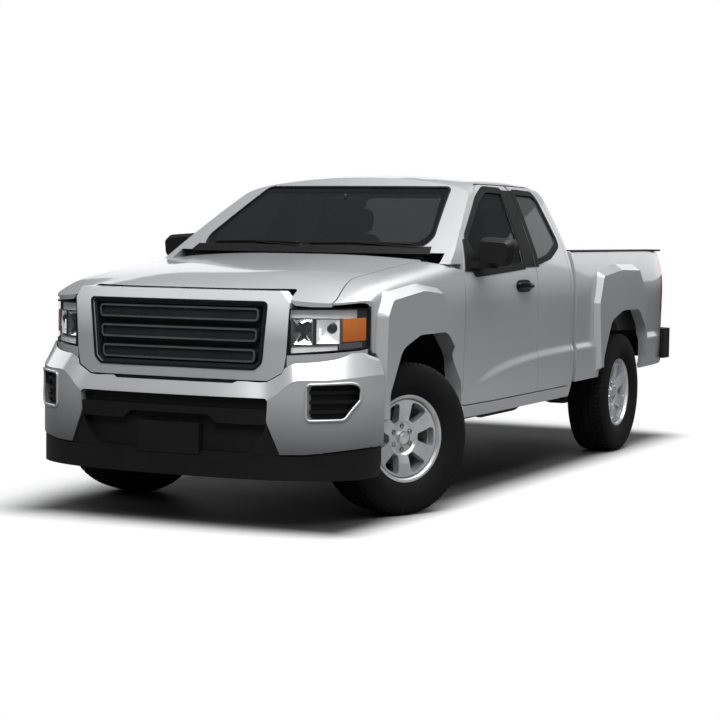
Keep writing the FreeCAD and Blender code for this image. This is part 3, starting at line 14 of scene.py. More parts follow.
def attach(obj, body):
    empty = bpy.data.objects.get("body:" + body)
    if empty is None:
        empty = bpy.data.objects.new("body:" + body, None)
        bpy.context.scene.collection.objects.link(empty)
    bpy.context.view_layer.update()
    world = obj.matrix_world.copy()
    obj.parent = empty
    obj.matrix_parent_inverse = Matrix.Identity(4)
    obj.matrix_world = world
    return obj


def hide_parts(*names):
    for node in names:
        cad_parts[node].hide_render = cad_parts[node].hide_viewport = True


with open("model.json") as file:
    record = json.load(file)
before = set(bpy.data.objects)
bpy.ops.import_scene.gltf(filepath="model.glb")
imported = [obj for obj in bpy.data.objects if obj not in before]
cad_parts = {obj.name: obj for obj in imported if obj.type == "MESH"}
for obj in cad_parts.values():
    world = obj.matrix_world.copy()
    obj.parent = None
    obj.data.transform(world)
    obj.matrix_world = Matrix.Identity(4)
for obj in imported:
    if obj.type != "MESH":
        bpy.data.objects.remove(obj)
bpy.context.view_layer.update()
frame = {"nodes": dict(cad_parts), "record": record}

NODES = frame["nodes"]

# Driving sizes, as the frame has them
LENGTH = 5.395
TRACK = 1.588
AXLE_F = -1.7625
AXLE_R = 1.4955
TYRE_R = 0.388
RIM_R = 0.216
STEER_AT_REST = math.radians(26.0)
KINGPIN_X = 0.735

# Tread of the tyres
TREAD_PITCHES = 76
TREAD_DEPTH = 0.009
GROOVES = (-0.064, -0.0235, 0.0235, 0.064)
GROOVE_HALF = 0.0052
WALL_HALF = 0.0006
WALL_CLEAR = 0.003
TREAD_EDGE = 0.104
CROWN_DROP = 0.0035
SHOULDER_REACH = 0.024
PITCH_SHARES = np.array([0.0, 0.035, 0.175, 0.21, 0.47, 0.735])
CROSS_GROOVE = (0.02, 0.2)
CROSS_SLANT = 1.6
NICK_SHARE = 0.45
SHOULDER_SHARE = 0.55

# Side wall of the tyres: places across, with their height over the rim, and the fine ribs low on it
TYRE_SIDE = [(0.0925, 0.0065), (0.104, 0.012), (0.1165, 0.030), (0.127, 0.056), (0.131, 0.088),
             (0.1290, 0.120), (0.1235, 0.144), (0.1150, 0.1605), (TREAD_EDGE + 0.003, 0.1682)]
RIB_START = 0.05
RIB_PITCH = 0.006
RIBS = 6
RIB_HEIGHT = 0.0007

# Camera, from the picture's perspective
IMAGE_PX = 720
FOCAL_PX = 1883.4
CENTRE_PX = (401.9, 351.5)
VIEW_AZIMUTH = math.radians(24.67)
VIEW_ELEVATION = math.radians(3.60)
VIEW_ROLL = math.radians(0.76)
VIEW_DISTANCE = 11.507
VIEW_TARGET = Vector((0.0, 0.0, 0.7))


# Meshes

def new_object(name, points, faces, material, smooth=True):
    """A mesh object from an array of points and a list or array of faces."""
    mesh = bpy.data.meshes.new(name)
    mesh.from_pydata(np.asarray(points, float).reshape(-1, 3).tolist(), [], [list(f) for f in faces])
    mesh.validate()
    mesh.polygons.foreach_set("use_smooth", [smooth] * len(mesh.polygons))
    mesh.materials.append(material)
    mesh.update()
    obj = bpy.data.objects.new(name, mesh)
    bpy.context.scene.collection.objects.link(obj)
    return obj


def grid_faces(rows, cols, close_rows=False, close_cols=False, flip=False):
    """Quads over a grid of rows x cols points, wrapped round either way when closed."""
    i = np.arange(rows if close_rows else rows - 1)
    j = np.arange(cols if close_cols else cols - 1)
    a, b = np.meshgrid(i, j, indexing="ij")
    c, d = (a + 1) % rows, (b + 1) % cols
    quads = np.stack([a * cols + b, c * cols + b, c * cols + d, a * cols + d], -1).reshape(-1, 4)
    return quads[:, ::-1] if flip else quads


def sharpen(obj, degrees):
    """Keep edges sharper than an angle crisp and shade the rest smooth."""
    obj.data.set_sharp_from_angle(angle=math.radians(degrees))


def lathe(name, profile, centre, axis, material, steps=48, sharp=35, loop=False):
    """A turned form: each (radius, along) point of the profile runs round the axis through centre.

    A point is centre + along * axis + radius * (cos t * u + sin t * v), with u and v square to the axis.
    With loop, the profile closes on itself and makes a ring.
    """
    p = np.asarray(profile, float)
    a = np.asarray(Vector(axis).normalized())
    u = np.asarray(Vector(axis).orthogonal().normalized())
    v = np.cross(a, u)
    t = np.linspace(0, 2 * math.pi, steps, endpoint=False)
    ring = np.cos(t)[:, None] * u + np.sin(t)[:, None] * v
    points = np.asarray(centre) + p[:, None, 1:2] * a + p[:, None, 0:1] * ring[None]
    faces = grid_faces(len(p), steps, close_rows=loop, close_cols=True).tolist()
    if not loop and p[0, 0] > 1e-6:
        faces.append(list(range(steps)))
    if not loop and p[-1, 0] > 1e-6:
        faces.append(list(range((len(p) - 1) * steps, len(p) * steps)))
    obj = new_object(name, points, faces, material)
    recalculate(obj)
    sharpen(obj, sharp)
    return obj


def rounded_box(name, centre, half, power, material, rows=24, cols=48, sharp=60):
    """A soft block: a superellipsoid with its own power for the section and for the outline.

    With c(t, e) = sign(cos t) |cos t|^(2/e) and s alike, a point is
    (a c(v, p) c(u, q), b c(v, p) s(u, q), h s(v, p)), u round and v from foot to top.
    """
    p, q = power
    v = np.linspace(-math.pi / 2, math.pi / 2, rows)[1:-1, None]
    u = np.linspace(-math.pi, math.pi, cols, endpoint=False)[None]

    def c(t, e):
        return np.sign(np.cos(t)) * np.abs(np.cos(t)) ** (2 / e)

    def s(t, e):
        return np.sign(np.sin(t)) * np.abs(np.sin(t)) ** (2 / e)

    a, b, h = half
    grid = np.stack([a * c(v, p) * c(u, q), b * c(v, p) * s(u, q),
                     np.broadcast_to(h * s(v, p), (rows - 2, cols))], -1)
    points = np.vstack([grid.reshape(-1, 3), [[0, 0, -h]], [[0, 0, h]]]) + np.asarray(centre)
    faces = [tuple(f) for f in grid_faces(rows - 2, cols, close_cols=True, flip=True)]
    foot, top = (rows - 2) * cols, (rows - 2) * cols + 1
    last = (rows - 3) * cols
    j = np.arange(cols)
    faces += [tuple(f) for f in np.stack([np.full(cols, foot), (j + 1) % cols, j], -1)]
    faces += [tuple(f) for f in np.stack([np.full(cols, top), last + j, last + (j + 1) % cols], -1)]
    obj = new_object(name, points, faces, material)
    recalculate(obj)
    sharpen(obj, sharp)
    return obj


def tube(name, path, radius, material, sides=10, closed=False, flat=1.0):
    """A bar along a path: a ring of the radius in the plane square to the path at each point.

    The ring's first direction is kept as level as the path allows, and flat squeezes the other one.
    """
    p = np.asarray(path, float)
    d = np.gradient(p, axis=0)
    if closed:
        d = np.roll(p, -1, 0) - np.roll(p, 1, 0)
    d /= np.linalg.norm(d, axis=1)[:, None]
    ref = np.where(np.abs(d[:, 2:3]) < 0.9, np.array([[0, 0, 1.0]]), np.array([[0, 1.0, 0]]))
    u = np.cross(d, ref)
    u /= np.linalg.norm(u, axis=1)[:, None]
    v = np.cross(d, u)
    t = np.linspace(0, 2 * math.pi, sides, endpoint=False)
    r = np.broadcast_to(np.asarray(radius, float), (len(p),))[:, None, None]
    ring = np.cos(t)[None, :, None] * u[:, None] + flat * np.sin(t)[None, :, None] * v[:, None]
    points = p[:, None] + r * ring
    faces = [tuple(f) for f in grid_faces(len(p), sides, close_rows=closed, close_cols=True)]
    if not closed:
        faces += [tuple(range(sides - 1, -1, -1)), tuple((len(p) - 1) * sides + k for k in range(sides))]
    obj = new_object(name, points, faces, material)
    recalculate(obj)
    return obj


def recalculate(obj):
    """Merge what lies in one place, then point a closed mesh's faces outwards."""
    work = bmesh.new()
    work.from_mesh(obj.data)
    bmesh.ops.remove_doubles(work, verts=work.verts, dist=1e-6)
    bmesh.ops.recalc_face_normals(work, faces=work.faces)
    work.to_mesh(obj.data)
    work.free()


def joined(name, objects):
    """Several meshes as one piece, with their materials."""
    base = objects[0]
    with bpy.context.temp_override(active_object=base, selected_editable_objects=objects,
                                   selected_objects=objects, object=base):
        bpy.ops.object.join()
    base.name = name
    base.data.name = name
    return base


def points_of(obj):
    """A piece's vertices as an array of (x, y, z) rows."""
    flat = np.empty(len(obj.data.vertices) * 3)
    obj.data.vertices.foreach_get("co", flat)
    return flat.reshape(-1, 3)


def mirror_of(obj, name):
    """A copy on the other side of the truck, with its faces outwards."""
    twin = obj.copy()
    twin.data = obj.data.copy()
    twin.name = name
    bpy.context.scene.collection.objects.link(twin)
    points = points_of(twin)
    points[:, 0] *= -1
    twin.data.vertices.foreach_set("co", points.ravel())
    twin.data.flip_normals()
    twin.data.update()
    return twin


# Surfaces of the body, worked out as the frame's are

# The side's section as (z, x) rows, its crown along the truck, and the ledge below its rising crease
SIDE = np.array([(0.430, 0.872), (0.480, 0.889), (0.520, 0.897), (0.600, 0.904), (0.750, 0.908),
                 (0.900, 0.912), (1.050, 0.915), (1.130, 0.912), (1.200, 0.902), (1.260, 0.886),
                 (1.324, 0.863), (1.400, 0.829), (1.500, 0.783), (1.600, 0.735), (1.700, 0.684)])
CROWN = 0.030
CROWN_MIDDLE = -0.1
CROWN_REACH = 2.7
CREASE_START = -1.062
CREASE_FOOT = 0.610
CREASE_RISE = 0.152
CREASE_RUN = 0.430
LEDGE = 0.015
LEDGE_RUN = 0.260
LEDGE_FALL = 0.046

# The windscreen: its foot's y and z, height, lean, half width, bow across and bulge
SCREEN_Y = -1.345
SCREEN_Z = 1.316
SCREEN_HEIGHT = 0.424
SCREEN_LEAN = 1.82
SCREEN_HALF = 0.728
SCREEN_BOW = 0.084
SCREEN_BULGE = 0.016

# Plans of the nose and of the front bumper: foremost y, half width, depth and power
NOSE_PLAN = (-2.632, 0.935, 0.9, 3.8)
BUMPER_PLAN = (-LENGTH / 2, 0.948, 0.52, 2.8)

# The bumper's upper facet: its inset over its rise, from its foot
FACET_INSET = 0.05
FACET_RISE = 0.084
FACET_FOOT = 0.618


def curve(table, t):
    """A cubic through (t, value) rows with slopes m taken across neighbours.

    With h the step and s the share of it: (2s3-3s2+1) f0 + (s3-2s2+s) h m0 + (3s2-2s3) f1 + (s3-s2) h m1.
    """
    x, f = table[:, 0], table[:, 1]
    lo, hi = np.maximum(np.arange(len(x)) - 1, 0), np.minimum(np.arange(len(x)) + 1, len(x) - 1)
    m = (f[hi] - f[lo]) / (x[hi] - x[lo])
    t = np.clip(t, x[0], x[-1])
    k = np.clip(np.searchsorted(x, t, side="right") - 1, 0, len(x) - 2)
    h = x[k + 1] - x[k]
    s = (t - x[k]) / h
    return ((2 * s ** 3 - 3 * s ** 2 + 1) * f[k] + (s ** 3 - 2 * s ** 2 + s) * h * m[k]
            + (3 * s ** 2 - 2 * s ** 3) * f[k + 1] + (s ** 3 - s ** 2) * h * m[k + 1])


def ease(t):
    """A smooth step from 0 to 1: 3t2 - 2t3."""
    t = np.clip(t, 0, 1)
    return t * t * (3 - 2 * t)


def on_side(y, z, lift):
    """The left body side at (y, z), moved out by lift: the section's curve, less the crown, plus the ledge.

    The crown grows with the square of the way from the middle, and the crease rises as 1 - e^(-y/run).
    """
    past = y - CREASE_START
    crease = CREASE_FOOT + CREASE_RISE * (1 - np.exp(-np.maximum(0, past) / CREASE_RUN))
    ledge = LEDGE * ease(past / LEDGE_RUN) * ease((crease - z) / LEDGE_FALL)
    x = curve(SIDE, z) - CROWN * ((y - CROWN_MIDDLE) / CROWN_REACH) ** 2 + ledge
    return np.stack([x + lift, y + 0 * x, z + 0 * x], -1)


def on_screen(x, z, lift):
    """The windscreen at (x, z), moved forward by lift.

    With r the rise over its foot and t = r / height, y = y0 + lean r + bow (x/half)2 - bulge 4 t (1-t).
    """
    rise = z - SCREEN_Z
    t = rise / SCREEN_HEIGHT
    y = (SCREEN_Y + rise * SCREEN_LEAN + SCREEN_BOW * (x / SCREEN_HALF) ** 2
         - SCREEN_BULGE * np.maximum(0, 4 * t * (1 - t)))
    return np.stack([x + 0 * y, y - lift, z + 0 * y], -1)


def on_plan(plan, x, z, lift):
    """An upright surface over a plan at (x, z), moved out by lift along its normal.

    y = y0 + D (1 - (1 - s^p)^(1/p)) with s = |x| / H, and the normal is (y', -1) made a unit.
    """
    front, half, depth, power = plan
    s = np.minimum(np.abs(x) / half, 0.999)
    low = 1 - s ** power
    y = front + depth * (1 - low ** (1 / power))
    slope = np.sign(x) * depth / half * low ** (1 / power - 1) * s ** (power - 1)
    size = np.sqrt(slope ** 2 + 1)
    return np.stack([x + lift * slope / size, y - lift / size, z + 0 * y], -1)


def on_nose(x, z, lift):
    """The nose, with its lamps and grille: its plan's surface."""
    return on_plan(NOSE_PLAN, x, z, lift)


def on_bumper(x, z, lift):
    """The front bumper below its facet: its plan's surface."""
    return on_plan(BUMPER_PLAN, x, z, lift)


def on_facet(x, z, lift):
    """The bumper's leaning upper facet near the middle at (x, z), moved out by lift.

    With the inset i = inset (z - foot) / rise - lift and s = |x| / (H - i), it is
    y = y0 + i + (D - i) (1 - (1 - s^p)^(1/p)).
    """
    front, half, depth, power = BUMPER_PLAN
    i = FACET_INSET * (z - FACET_FOOT) / FACET_RISE - lift
    s = np.abs(x) / (half - i)
    y = front + i + (depth - i) * (1 - (1 - s ** power) ** (1 / power))
    return np.stack([x + 0 * y, y, z + 0 * y], -1)


def rounded(outline, arc=6):
    """A closed outline of (a, b, radius) corners as points, arc + 1 of them round each corner.

    Each arc swings between the two places where its circle touches the corner's sides.
    """
    rows = np.array(outline, float)
    p, r = rows[:, :2], np.maximum(rows[:, 2], 0.0008)
    back, on = np.roll(p, 1, 0) - p, np.roll(p, -1, 0) - p
    lb, lo = np.linalg.norm(back, axis=1), np.linalg.norm(on, axis=1)
    u, v = back / lb[:, None], on / lo[:, None]
    half = np.arccos(np.clip((u * v).sum(1), -1, 1)) / 2
    reach = np.minimum(r / np.tan(half), 0.45 * np.minimum(lb, lo))
    radius = reach * np.tan(half)
    mid = (u + v) / np.linalg.norm(u + v, axis=1)[:, None]
    centre = p + mid * (radius / np.sin(half))[:, None]
    a, b = p + u * reach[:, None] - centre, p + v * reach[:, None] - centre
    swing = (math.pi - 2 * half)[:, None, None]
    t = np.linspace(0, 1, arc + 1)[None, :, None]
    bent = (np.sin((1 - t) * swing) * a[:, None] + np.sin(t * swing) * b[:, None]) / np.sin(swing)
    return (centre[:, None] + bent).reshape(-1, 2)


def grown(outline, g):
    """A closed outline moved outwards by g, each corner along its two sides' normals."""
    rows = np.array(outline, float)
    p = rows[:, :2]
    nxt = np.roll(p, -1, 0)
    turn = np.sign((p[:, 0] * nxt[:, 1] - nxt[:, 0] * p[:, 1]).sum())
    side = nxt - p
    n2 = turn * np.stack([side[:, 1], -side[:, 0]], 1) / np.linalg.norm(side, axis=1)[:, None]
    n1 = np.roll(n2, 1, 0)
    k = g / (1 + (n1 * n2).sum(1))
    return np.column_stack([p + k[:, None] * (n1 + n2), np.maximum(rows[:, 2] + g, 0.001)])


def even(points):
    """A half outline completed by its mirror image."""
    return list(points) + [(-x, z, r) for x, z, r in reversed(points)]


def finer(first, last, step):
    """Two closed lines of as many points, both cut so that no side of the first is longer than step."""
    length = np.linalg.norm(np.roll(first, -1, 0) - first, axis=1)
    cuts = np.maximum(1, np.ceil(length / step)).astype(int)
    k = np.repeat(np.arange(len(first)), cuts)
    t = np.concatenate([np.arange(c) / c for c in cuts])[:, None]
    return [line[k] * (1 - t) + np.roll(line, -1, 0)[k] * t for line in (first, last)]


def sheet(name, first, last, rows, place, lift, thick, material, closed=False, sharp=40):
    """A thin closed form over a surface, spanned between two lines of (a, b) points.

    Row k of its outer face is first + (last - first) k / rows, placed at lift, and the inner face
    is the same at lift - thick. Both run in one loop, and open ends are closed with quads.
    """
    first, last = np.asarray(first, float), np.asarray(last, float)
    f = np.linspace(0, 1, rows + 1)[:, None, None]
    flat = first[None] + (last - first)[None] * f
    outer = place(flat[..., 0], flat[..., 1], lift)
    inner = place(flat[..., 0], flat[..., 1], lift - thick)[::-1]
    points = np.concatenate([outer, inner])
    total, n = points.shape[:2]
    faces = grid_faces(total, n, close_rows=True, close_cols=closed).tolist()
    if not closed:
        k = np.arange(rows)
        faces += np.stack([k, k + 1, total - 2 - k, total - 1 - k], -1).dot(n).tolist()
        faces += (np.stack([k, k + 1, total - 2 - k, total - 1 - k], -1) * n + n - 1).tolist()
    obj = new_object(name, points, faces, material)
    recalculate(obj)
    sharpen(obj, sharp)
    return obj


def band(name, outline, outer, inner, place, lift, thick, material, step=0.03, rows=1):
    """A thin closed ring over a surface, between an outline grown by outer and by inner."""
    first, last = finer(rounded(grown(outline, outer)), rounded(grown(outline, inner)), step)
    return sheet(name, first, last, rows, place, lift, thick, material, closed=True)


def line(a, b, count):
    """Points shared evenly between two (a, b) pairs."""
    return np.linspace(a, b, count)


def both_sides(obj, left_body, right_body):
    """Ride a left piece on its body, and its mirror image on the other side's."""
    base = obj.name
    twin = mirror_of(obj, base + "_right")
    obj.name = base + "_left"
    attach(obj, left_body)
    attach(twin, right_body)
    return obj, twin


# Wheels

def smooth_line(points, count):
    """Points along a cubic curve through the given points, evenly shared between them.

    Between b and c, with a before and d after, and f the share of the way, a point is
    (2b + (c-a) f + (2a-5b+4c-d) f2 + (3b-a-3c+d) f3) / 2.
    """
    p = np.asarray(points, float)
    ext = np.vstack([2 * p[0] - p[1], p, 2 * p[-1] - p[-2]])
    t = np.linspace(0, len(p) - 1, count)
    k = np.minimum(t.astype(int), len(p) - 2)
    f = (t - k)[:, None]
    a, b, c, d = ext[k], ext[k + 1], ext[k + 2], ext[k + 3]
    return 0.5 * (2 * b + (c - a) * f + (2 * a - 5 * b + 4 * c - d) * f ** 2
                  + (3 * b - a - 3 * c + d) * f ** 3)


def tread_stations():
    """Places across the tread: a pair close together at each groove wall, and even ones clear of them."""
    edges = np.array([g + s * GROOVE_HALF for g in GROOVES for s in (-1, 1)])
    walls = np.sort(np.concatenate([edges - WALL_HALF, edges + WALL_HALF]))
    fill = np.linspace(-TREAD_EDGE, TREAD_EDGE, 15)
    far = np.abs(fill[:, None] - walls[None, :]).min(1) > WALL_CLEAR
    return np.sort(np.concatenate([walls, fill[far]]))


def tyre_mesh(name, material):
    """A road tyre: its section turned about its axle, with grooves and blocks.

    The section runs bead, side wall, shoulder, tread and back. The tread's radius is R less the
    crown's drop (w/edge)2, less the groove depth wherever the place across lies in one of four
    ring grooves or the angle lies in a slanted cross groove. Cross grooves slant one way on each
    half, so the angle is sheared by the place across and the grid's lines follow their walls.
    """
    across = tread_stations()
    in_groove = (np.abs(across[:, None] - np.array(GROOVES)[None, :]) < GROOVE_HALF).any(1)
    side = smooth_line([(place, RIM_R + height) for place, height in TYRE_SIDE], 30)
    ribs = np.clip((side[:, 1] - RIM_R - RIB_START) / RIB_PITCH, 0, RIBS)
    side[:, 0] += np.sin(ribs * math.pi) ** 2 * RIB_HEIGHT
    w = np.concatenate([-side[:, 0], across, side[::-1, 0]])
    r = np.concatenate([side[:, 1], TYRE_R - CROWN_DROP * (across / TREAD_EDGE) ** 2, side[::-1, 1]])
    tread = np.zeros(len(w), bool)
    tread[len(side):len(side) + len(across)] = True
    ring_groove = np.zeros(len(w), bool)
    ring_groove[len(side):len(side) + len(across)] = in_groove
    phase = (np.arange(TREAD_PITCHES)[:, None] + PITCH_SHARES[None, :]).ravel() / TREAD_PITCHES
    cross = np.tile((PITCH_SHARES > CROSS_GROOVE[0]) & (PITCH_SHARES < CROSS_GROOVE[1]), TREAD_PITCHES)
    slant = np.where(np.abs(w) < TREAD_EDGE, np.abs(w), TREAD_EDGE) / TREAD_EDGE
    middle = np.abs(w) < GROOVES[2]
    angle = 2 * math.pi * (phase[None, :] + (CROSS_SLANT * slant[:, None] ** 0.8) / TREAD_PITCHES)
    sunk = ring_groove[:, None] | (tread[:, None] & cross[None, :] & ~middle[:, None])
    nick = tread[:, None] & cross[None, :] & middle[:, None]
    shoulder = (~tread & (r > TYRE_R - SHOULDER_REACH))[:, None] & cross[None, :]
    radius = r[:, None] - TREAD_DEPTH * (sunk + NICK_SHARE * nick + SHOULDER_SHARE * shoulder)
    radius = np.minimum(radius, TYRE_R - 0.0002)
    points = np.stack([np.broadcast_to(w[:, None], radius.shape), radius * np.sin(angle),
                       radius * np.cos(angle)], -1)
    rows, cols = radius.shape
    obj = new_object(name, points, grid_faces(rows, cols, close_rows=True, close_cols=True), material)
    recalculate(obj)
    sharpen(obj, 38)
    return obj


def place_wheel(obj, side, front):
    """Move a wheel piece made at the origin to its axle, turned as far as the front wheels are."""
    spot = Matrix.Translation((side * TRACK / 2, AXLE_F if front else AXLE_R, TYRE_R))
    if side < 0:
        spot = spot @ Matrix.Rotation(math.pi, 4, "Z")
    if front:
        pin = Matrix.Translation((side * KINGPIN_X, AXLE_F, 0))
        spot = pin @ Matrix.Rotation(-STEER_AT_REST, 4, "Z") @ pin.inverted() @ spot
    obj.data.transform(spot)


# In a wheel's own frame, with its axle along x: the nuts, the line round the cap and the valve
NUTS = 6
NUT_CIRCLE = 0.060
NUT = [(0.0105, 0.040), (0.0105, 0.056), (0.0098, 0.0585), (0.0072, 0.0615), (0.0, 0.0625)]
CAP_RING = [(0.0335, 0.0775), (0.0362, 0.0775), (0.0362, 0.0745), (0.0335, 0.0745)]
VALVE = [(0.060, 0.058, 0.176), (0.073, 0.056, 0.170), (0.086, 0.054, 0.164)]
VALVE_R = 0.0035


def build_wheels(finish):
    """Treaded tyres in place of the plain ones, with nuts, a valve and a cap line on each rim."""
    for front in (True, False):
        for side, word in ((1, "left"), (-1, "right")):
            end = "front" if front else "rear"
            tyre = tyre_mesh("road_tyre_%s_%s" % (end, word), finish["tyre"])
            nuts = [nut_mesh(k, finish["nut"]) for k in range(NUTS)]
            nuts.append(lathe("cap_ring", CAP_RING, (0, 0, 0), (1, 0, 0), finish["steel"], 48, loop=True))
            nuts.append(tube("valve", VALVE, VALVE_R, finish["rubber"], 8))
            hub = joined("wheel_nuts_%s_%s" % (end, word), nuts)
            for piece in (tyre, hub):
                place_wheel(piece, side, front)
                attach(piece, "%s_wheel_%s" % (end, word))
            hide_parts("tyre_%s_%s" % (end, word))


def nut_mesh(k, material):
    """A domed six-sided wheel nut in pocket k: rings of six points that draw in towards the top."""
    angle = math.radians(360 / NUTS * k)
    centre = (0, NUT_CIRCLE * math.sin(angle), NUT_CIRCLE * math.cos(angle))
    return lathe("nut", NUT, centre, (1, 0, 0), material, 6, 25)


# Lamps

# The left lamp's outline as (x, z, radius), its inboard edge, and its projector
LAMP = [(0.5991, 1.060, 0.004), (0.8885, 1.062, 0.004), (0.8885, 0.869, 0.010), (0.868, 0.8615, 0.020),
        (0.5863, 0.838, 0.004)]
LAMP_INBOARD = 0.5885
PROJECTOR_PLACE = (0.752, -2.436, 0.968)
PROJECTOR_AIM = (0.10, -1, 0)
PROJECTOR = [(0.0, 0.024), (0.016, 0.0215), (0.027, 0.014), (0.0325, 0.004), (0.034, -0.01), (0.034, -0.05),
             (0.0, -0.05)]
BEZEL = [(0.0345, -0.03), (0.0345, 0.003), (0.038, 0.006), (0.043, 0.0), (0.046, -0.02), (0.046, -0.03)]
BOWL_SIDE = 17
BOWL_POWER = 1.4
BOWL_WALL = 0.002


def lamp_x(first, last, count):
    """Places across the nose from first to last, evenly far apart along its curve."""
    x = np.linspace(first, last, 300)
    p = on_nose(x, 0 * x, 0)
    far = np.concatenate([[0], np.cumsum(np.linalg.norm(np.diff(p, axis=0), axis=1))])
    return np.interp(np.linspace(0, far[-1], count), far, x)


def lamp_strip(name, x0, x1, low, high, lift, thick, material, rows=2, lean=0.0):
    """A sheet over the nose between two heights, each a number or a pair for its two ends."""
    low, high = np.broadcast_to(low, 2), np.broadcast_to(high, 2)
    count = max(4, int(abs(x1 - x0) / 0.008))
    t = np.linspace(0, 1, count)
    foot = np.column_stack([lamp_x(x0, x1, count), low[0] + (low[1] - low[0]) * t])
    top = np.column_stack([lamp_x(x0 + lean, x1, count), high[0] + (high[1] - high[0]) * t])
    return sheet(name, foot, top, rows, on_nose, lift, thick, material)


def reflector(name, x0, x1, low, high, near, far, material):
    """A four-sided bowl behind the nose, with (u, v) from -1 to 1 across it.

    Its depth is near + (far - near) (1 - max(|u|, |v|)^p), and its wall lies behind that.
    """
    n = BOWL_SIDE
    u = np.linspace(-1, 1, n)[None, :]
    v = np.linspace(-1, 1, n)[:, None]
    deep = near + (far - near) * (1 - np.maximum(np.abs(u), np.abs(v)) ** BOWL_POWER)
    x = (x0 + x1) / 2 + (x1 - x0) / 2 * u + 0 * v
    z = (low + high) / 2 + (high - low) / 2 * v + 0 * u
    front = on_nose(x, z, -deep)
    back = on_nose(x, z, -deep - BOWL_WALL)
    points = np.concatenate([front, back])
    shell = grid_faces(n, n)
    total, k = n * n, np.arange(n - 1)
    faces = shell.tolist() + (shell[:, ::-1] + total).tolist()
    edge = np.concatenate([k, n - 1 + n * k, total - 1 - k, total - n - n * k])
    on = np.roll(edge, -1)
    faces += np.stack([edge, edge + total, on + total, on], -1).tolist()
    obj = new_object(name, points, faces, material, smooth=False)
    recalculate(obj)
    return obj


def build_headlamps(finish):
    """Clear lamps: a lens over a housing with two bowls, a projector, bright bands and an amber block."""
    dark, bright, satin = finish["lamp_black"], finish["chrome"], finish["lamp_satin"]
    parts = [
        band("wall", LAMP, -0.0006, -0.0026, on_nose, -0.004, 0.074, dark, 0.012),
        lamp_strip("back", 0.590, 0.872, (0.842, 0.862), 1.058, -0.074, 0.002, dark, 3),
        lamp_strip("top_band", 0.6015, 0.866, (1.0155, 1.012), (1.0565, 1.058), -0.030, 0.003, satin, 4),
        lamp_strip("top_lip", 0.6015, 0.868, (1.0115, 1.008), (1.0155, 1.012), -0.020, 0.014, bright, 1),
        lamp_strip("foot_band", 0.606, 0.800, (0.846, 0.858), (0.876, 0.884), -0.016, 0.003, satin, 3),
        lamp_strip("foot_lip", 0.606, 0.800, (0.878, 0.886), (0.8825, 0.8905), -0.010, 0.030, bright, 1),
        lamp_strip("foot_end", 0.806, 0.880, (0.8635, 0.875), (0.893, 0.901), -0.018, 0.003, bright, 2),
        reflector("reflector", 0.617, 0.704, 0.889, 1.008, 0.020, 0.058, bright),
        reflector("second_reflector", 0.719, 0.806, 0.893, 1.008, 0.022, 0.052, satin),
        lamp_strip("pillar", 0.7045, 0.7185, 0.889, 1.008, -0.016, 0.040, dark, 2),
        # A small white strip that glows on the lamp's light pipe: a painted glint.
        lamp_strip("pipe", 0.7305, 0.7385, 0.922, 0.966, -0.018, 0.006, finish["painted_glint"], 3),
        lamp_strip("side_wall", 0.806, 0.814, 0.893, 1.010, -0.012, 0.044, bright, 2),
        lathe("projector", PROJECTOR, PROJECTOR_PLACE, PROJECTOR_AIM, finish["eye"], 40),
        lathe("bezel", BEZEL, PROJECTOR_PLACE, PROJECTOR_AIM, bright, 40, loop=True),
    ]
    # Two slim dark bars in an X over the first bowl: painted dark reflection lines along its facets' creases.
    slim = np.array([0.0024, -0.0016])
    for k, (foot, top) in enumerate(((0.905, 0.992), (0.992, 0.905))):
        reflection_line = line((0.634, foot), (0.688, top), 8)
        parts.append(sheet("rib_%d" % k, reflection_line + slim, reflection_line - slim, 1, on_nose, -0.026 - 0.004 * k, 0.022, dark))
    housing = joined("lamp_housing", parts)
    amber = lamp_strip("lamp_amber", 0.816, 0.884, (0.902, 0.908), (1.012, 1.016), -0.006, 0.012,
                       finish["amber"], 5)
    rim = band("lamp_border", LAMP, -0.0004, -0.0075, on_nose, -0.0010, 0.003, dark, 0.012)
    cheek = lamp_strip("lamp_cheek", LAMP_INBOARD, 0.6075, (0.841, 0.842), (1.010, 1.002), -0.0012, 0.003,
                       dark, 6, 0.007)
    lens = band("lens", LAMP, -0.0006, -0.0030, on_nose, -0.0020, 0.004, finish["lens"], 0.012)
    face = lamp_strip("lamp_lens", LAMP_INBOARD, 0.8865, (0.8405, 0.868), (1.058, 1.060), -0.0020, 0.0025,
                      finish["lens"], 8, 0.0125)
    border = joined("lamp_border", [rim, cheek])
    cover = joined("lamp_lens", [face, lens])
    for piece in (housing, amber, border, cover):
        left, right = both_sides(piece, "chassis", "chassis")
        if piece is housing:
            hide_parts("headlamps")
            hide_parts("headlamps")


# Glass, seals and outside trim

# Outlines as (a, b, radius) corners: across and up, or along and up on the sides
SCREEN = [(-0.726, 1.340, 0.060), (0.726, 1.340, 0.060), (0.584, 1.690, 0.050), (-0.584, 1.690, 0.050)]
SCREEN_CLEAR = [(-0.684, 1.374, 0.050), (0.684, 1.374, 0.050), (0.556, 1.648, 0.040), (-0.556, 1.648, 0.040)]
FRONT_WINDOW = [(-1.010, 1.214, 0.020), (-0.262, 1.250, 0.010), (-0.176, 1.668, 0.010),
                (-0.420, 1.672, 0.200), (-0.606, 1.606, 0.060), (-0.992, 1.392, 0.060)]
QUARTER_WINDOW = [(-0.028, 1.268, 0.014), (0.200, 1.300, 0.200), (0.418, 1.372, 0.040), (0.352, 1.662, 0.070),
                  (0.032, 1.668, 0.012)]
FOG_HOLE = [(0.706, 0.700, 0.016), (0.902, 0.708, 0.030), (0.898, 0.628, 0.020), (0.850, 0.540, 0.020),
            (0.706, 0.536, 0.016)]
GRILLE_HOLE = even([(0.488, 1.082, 0.012), (0.462, 0.800, 0.030), (0.430, 0.772, 0.020)])
MIRROR_FACE = [(0.888, 1.254, 0.020), (1.076, 1.260, 0.030), (1.088, 1.384, 0.030), (0.904, 1.396, 0.020)]
MIRROR_Y = -0.884

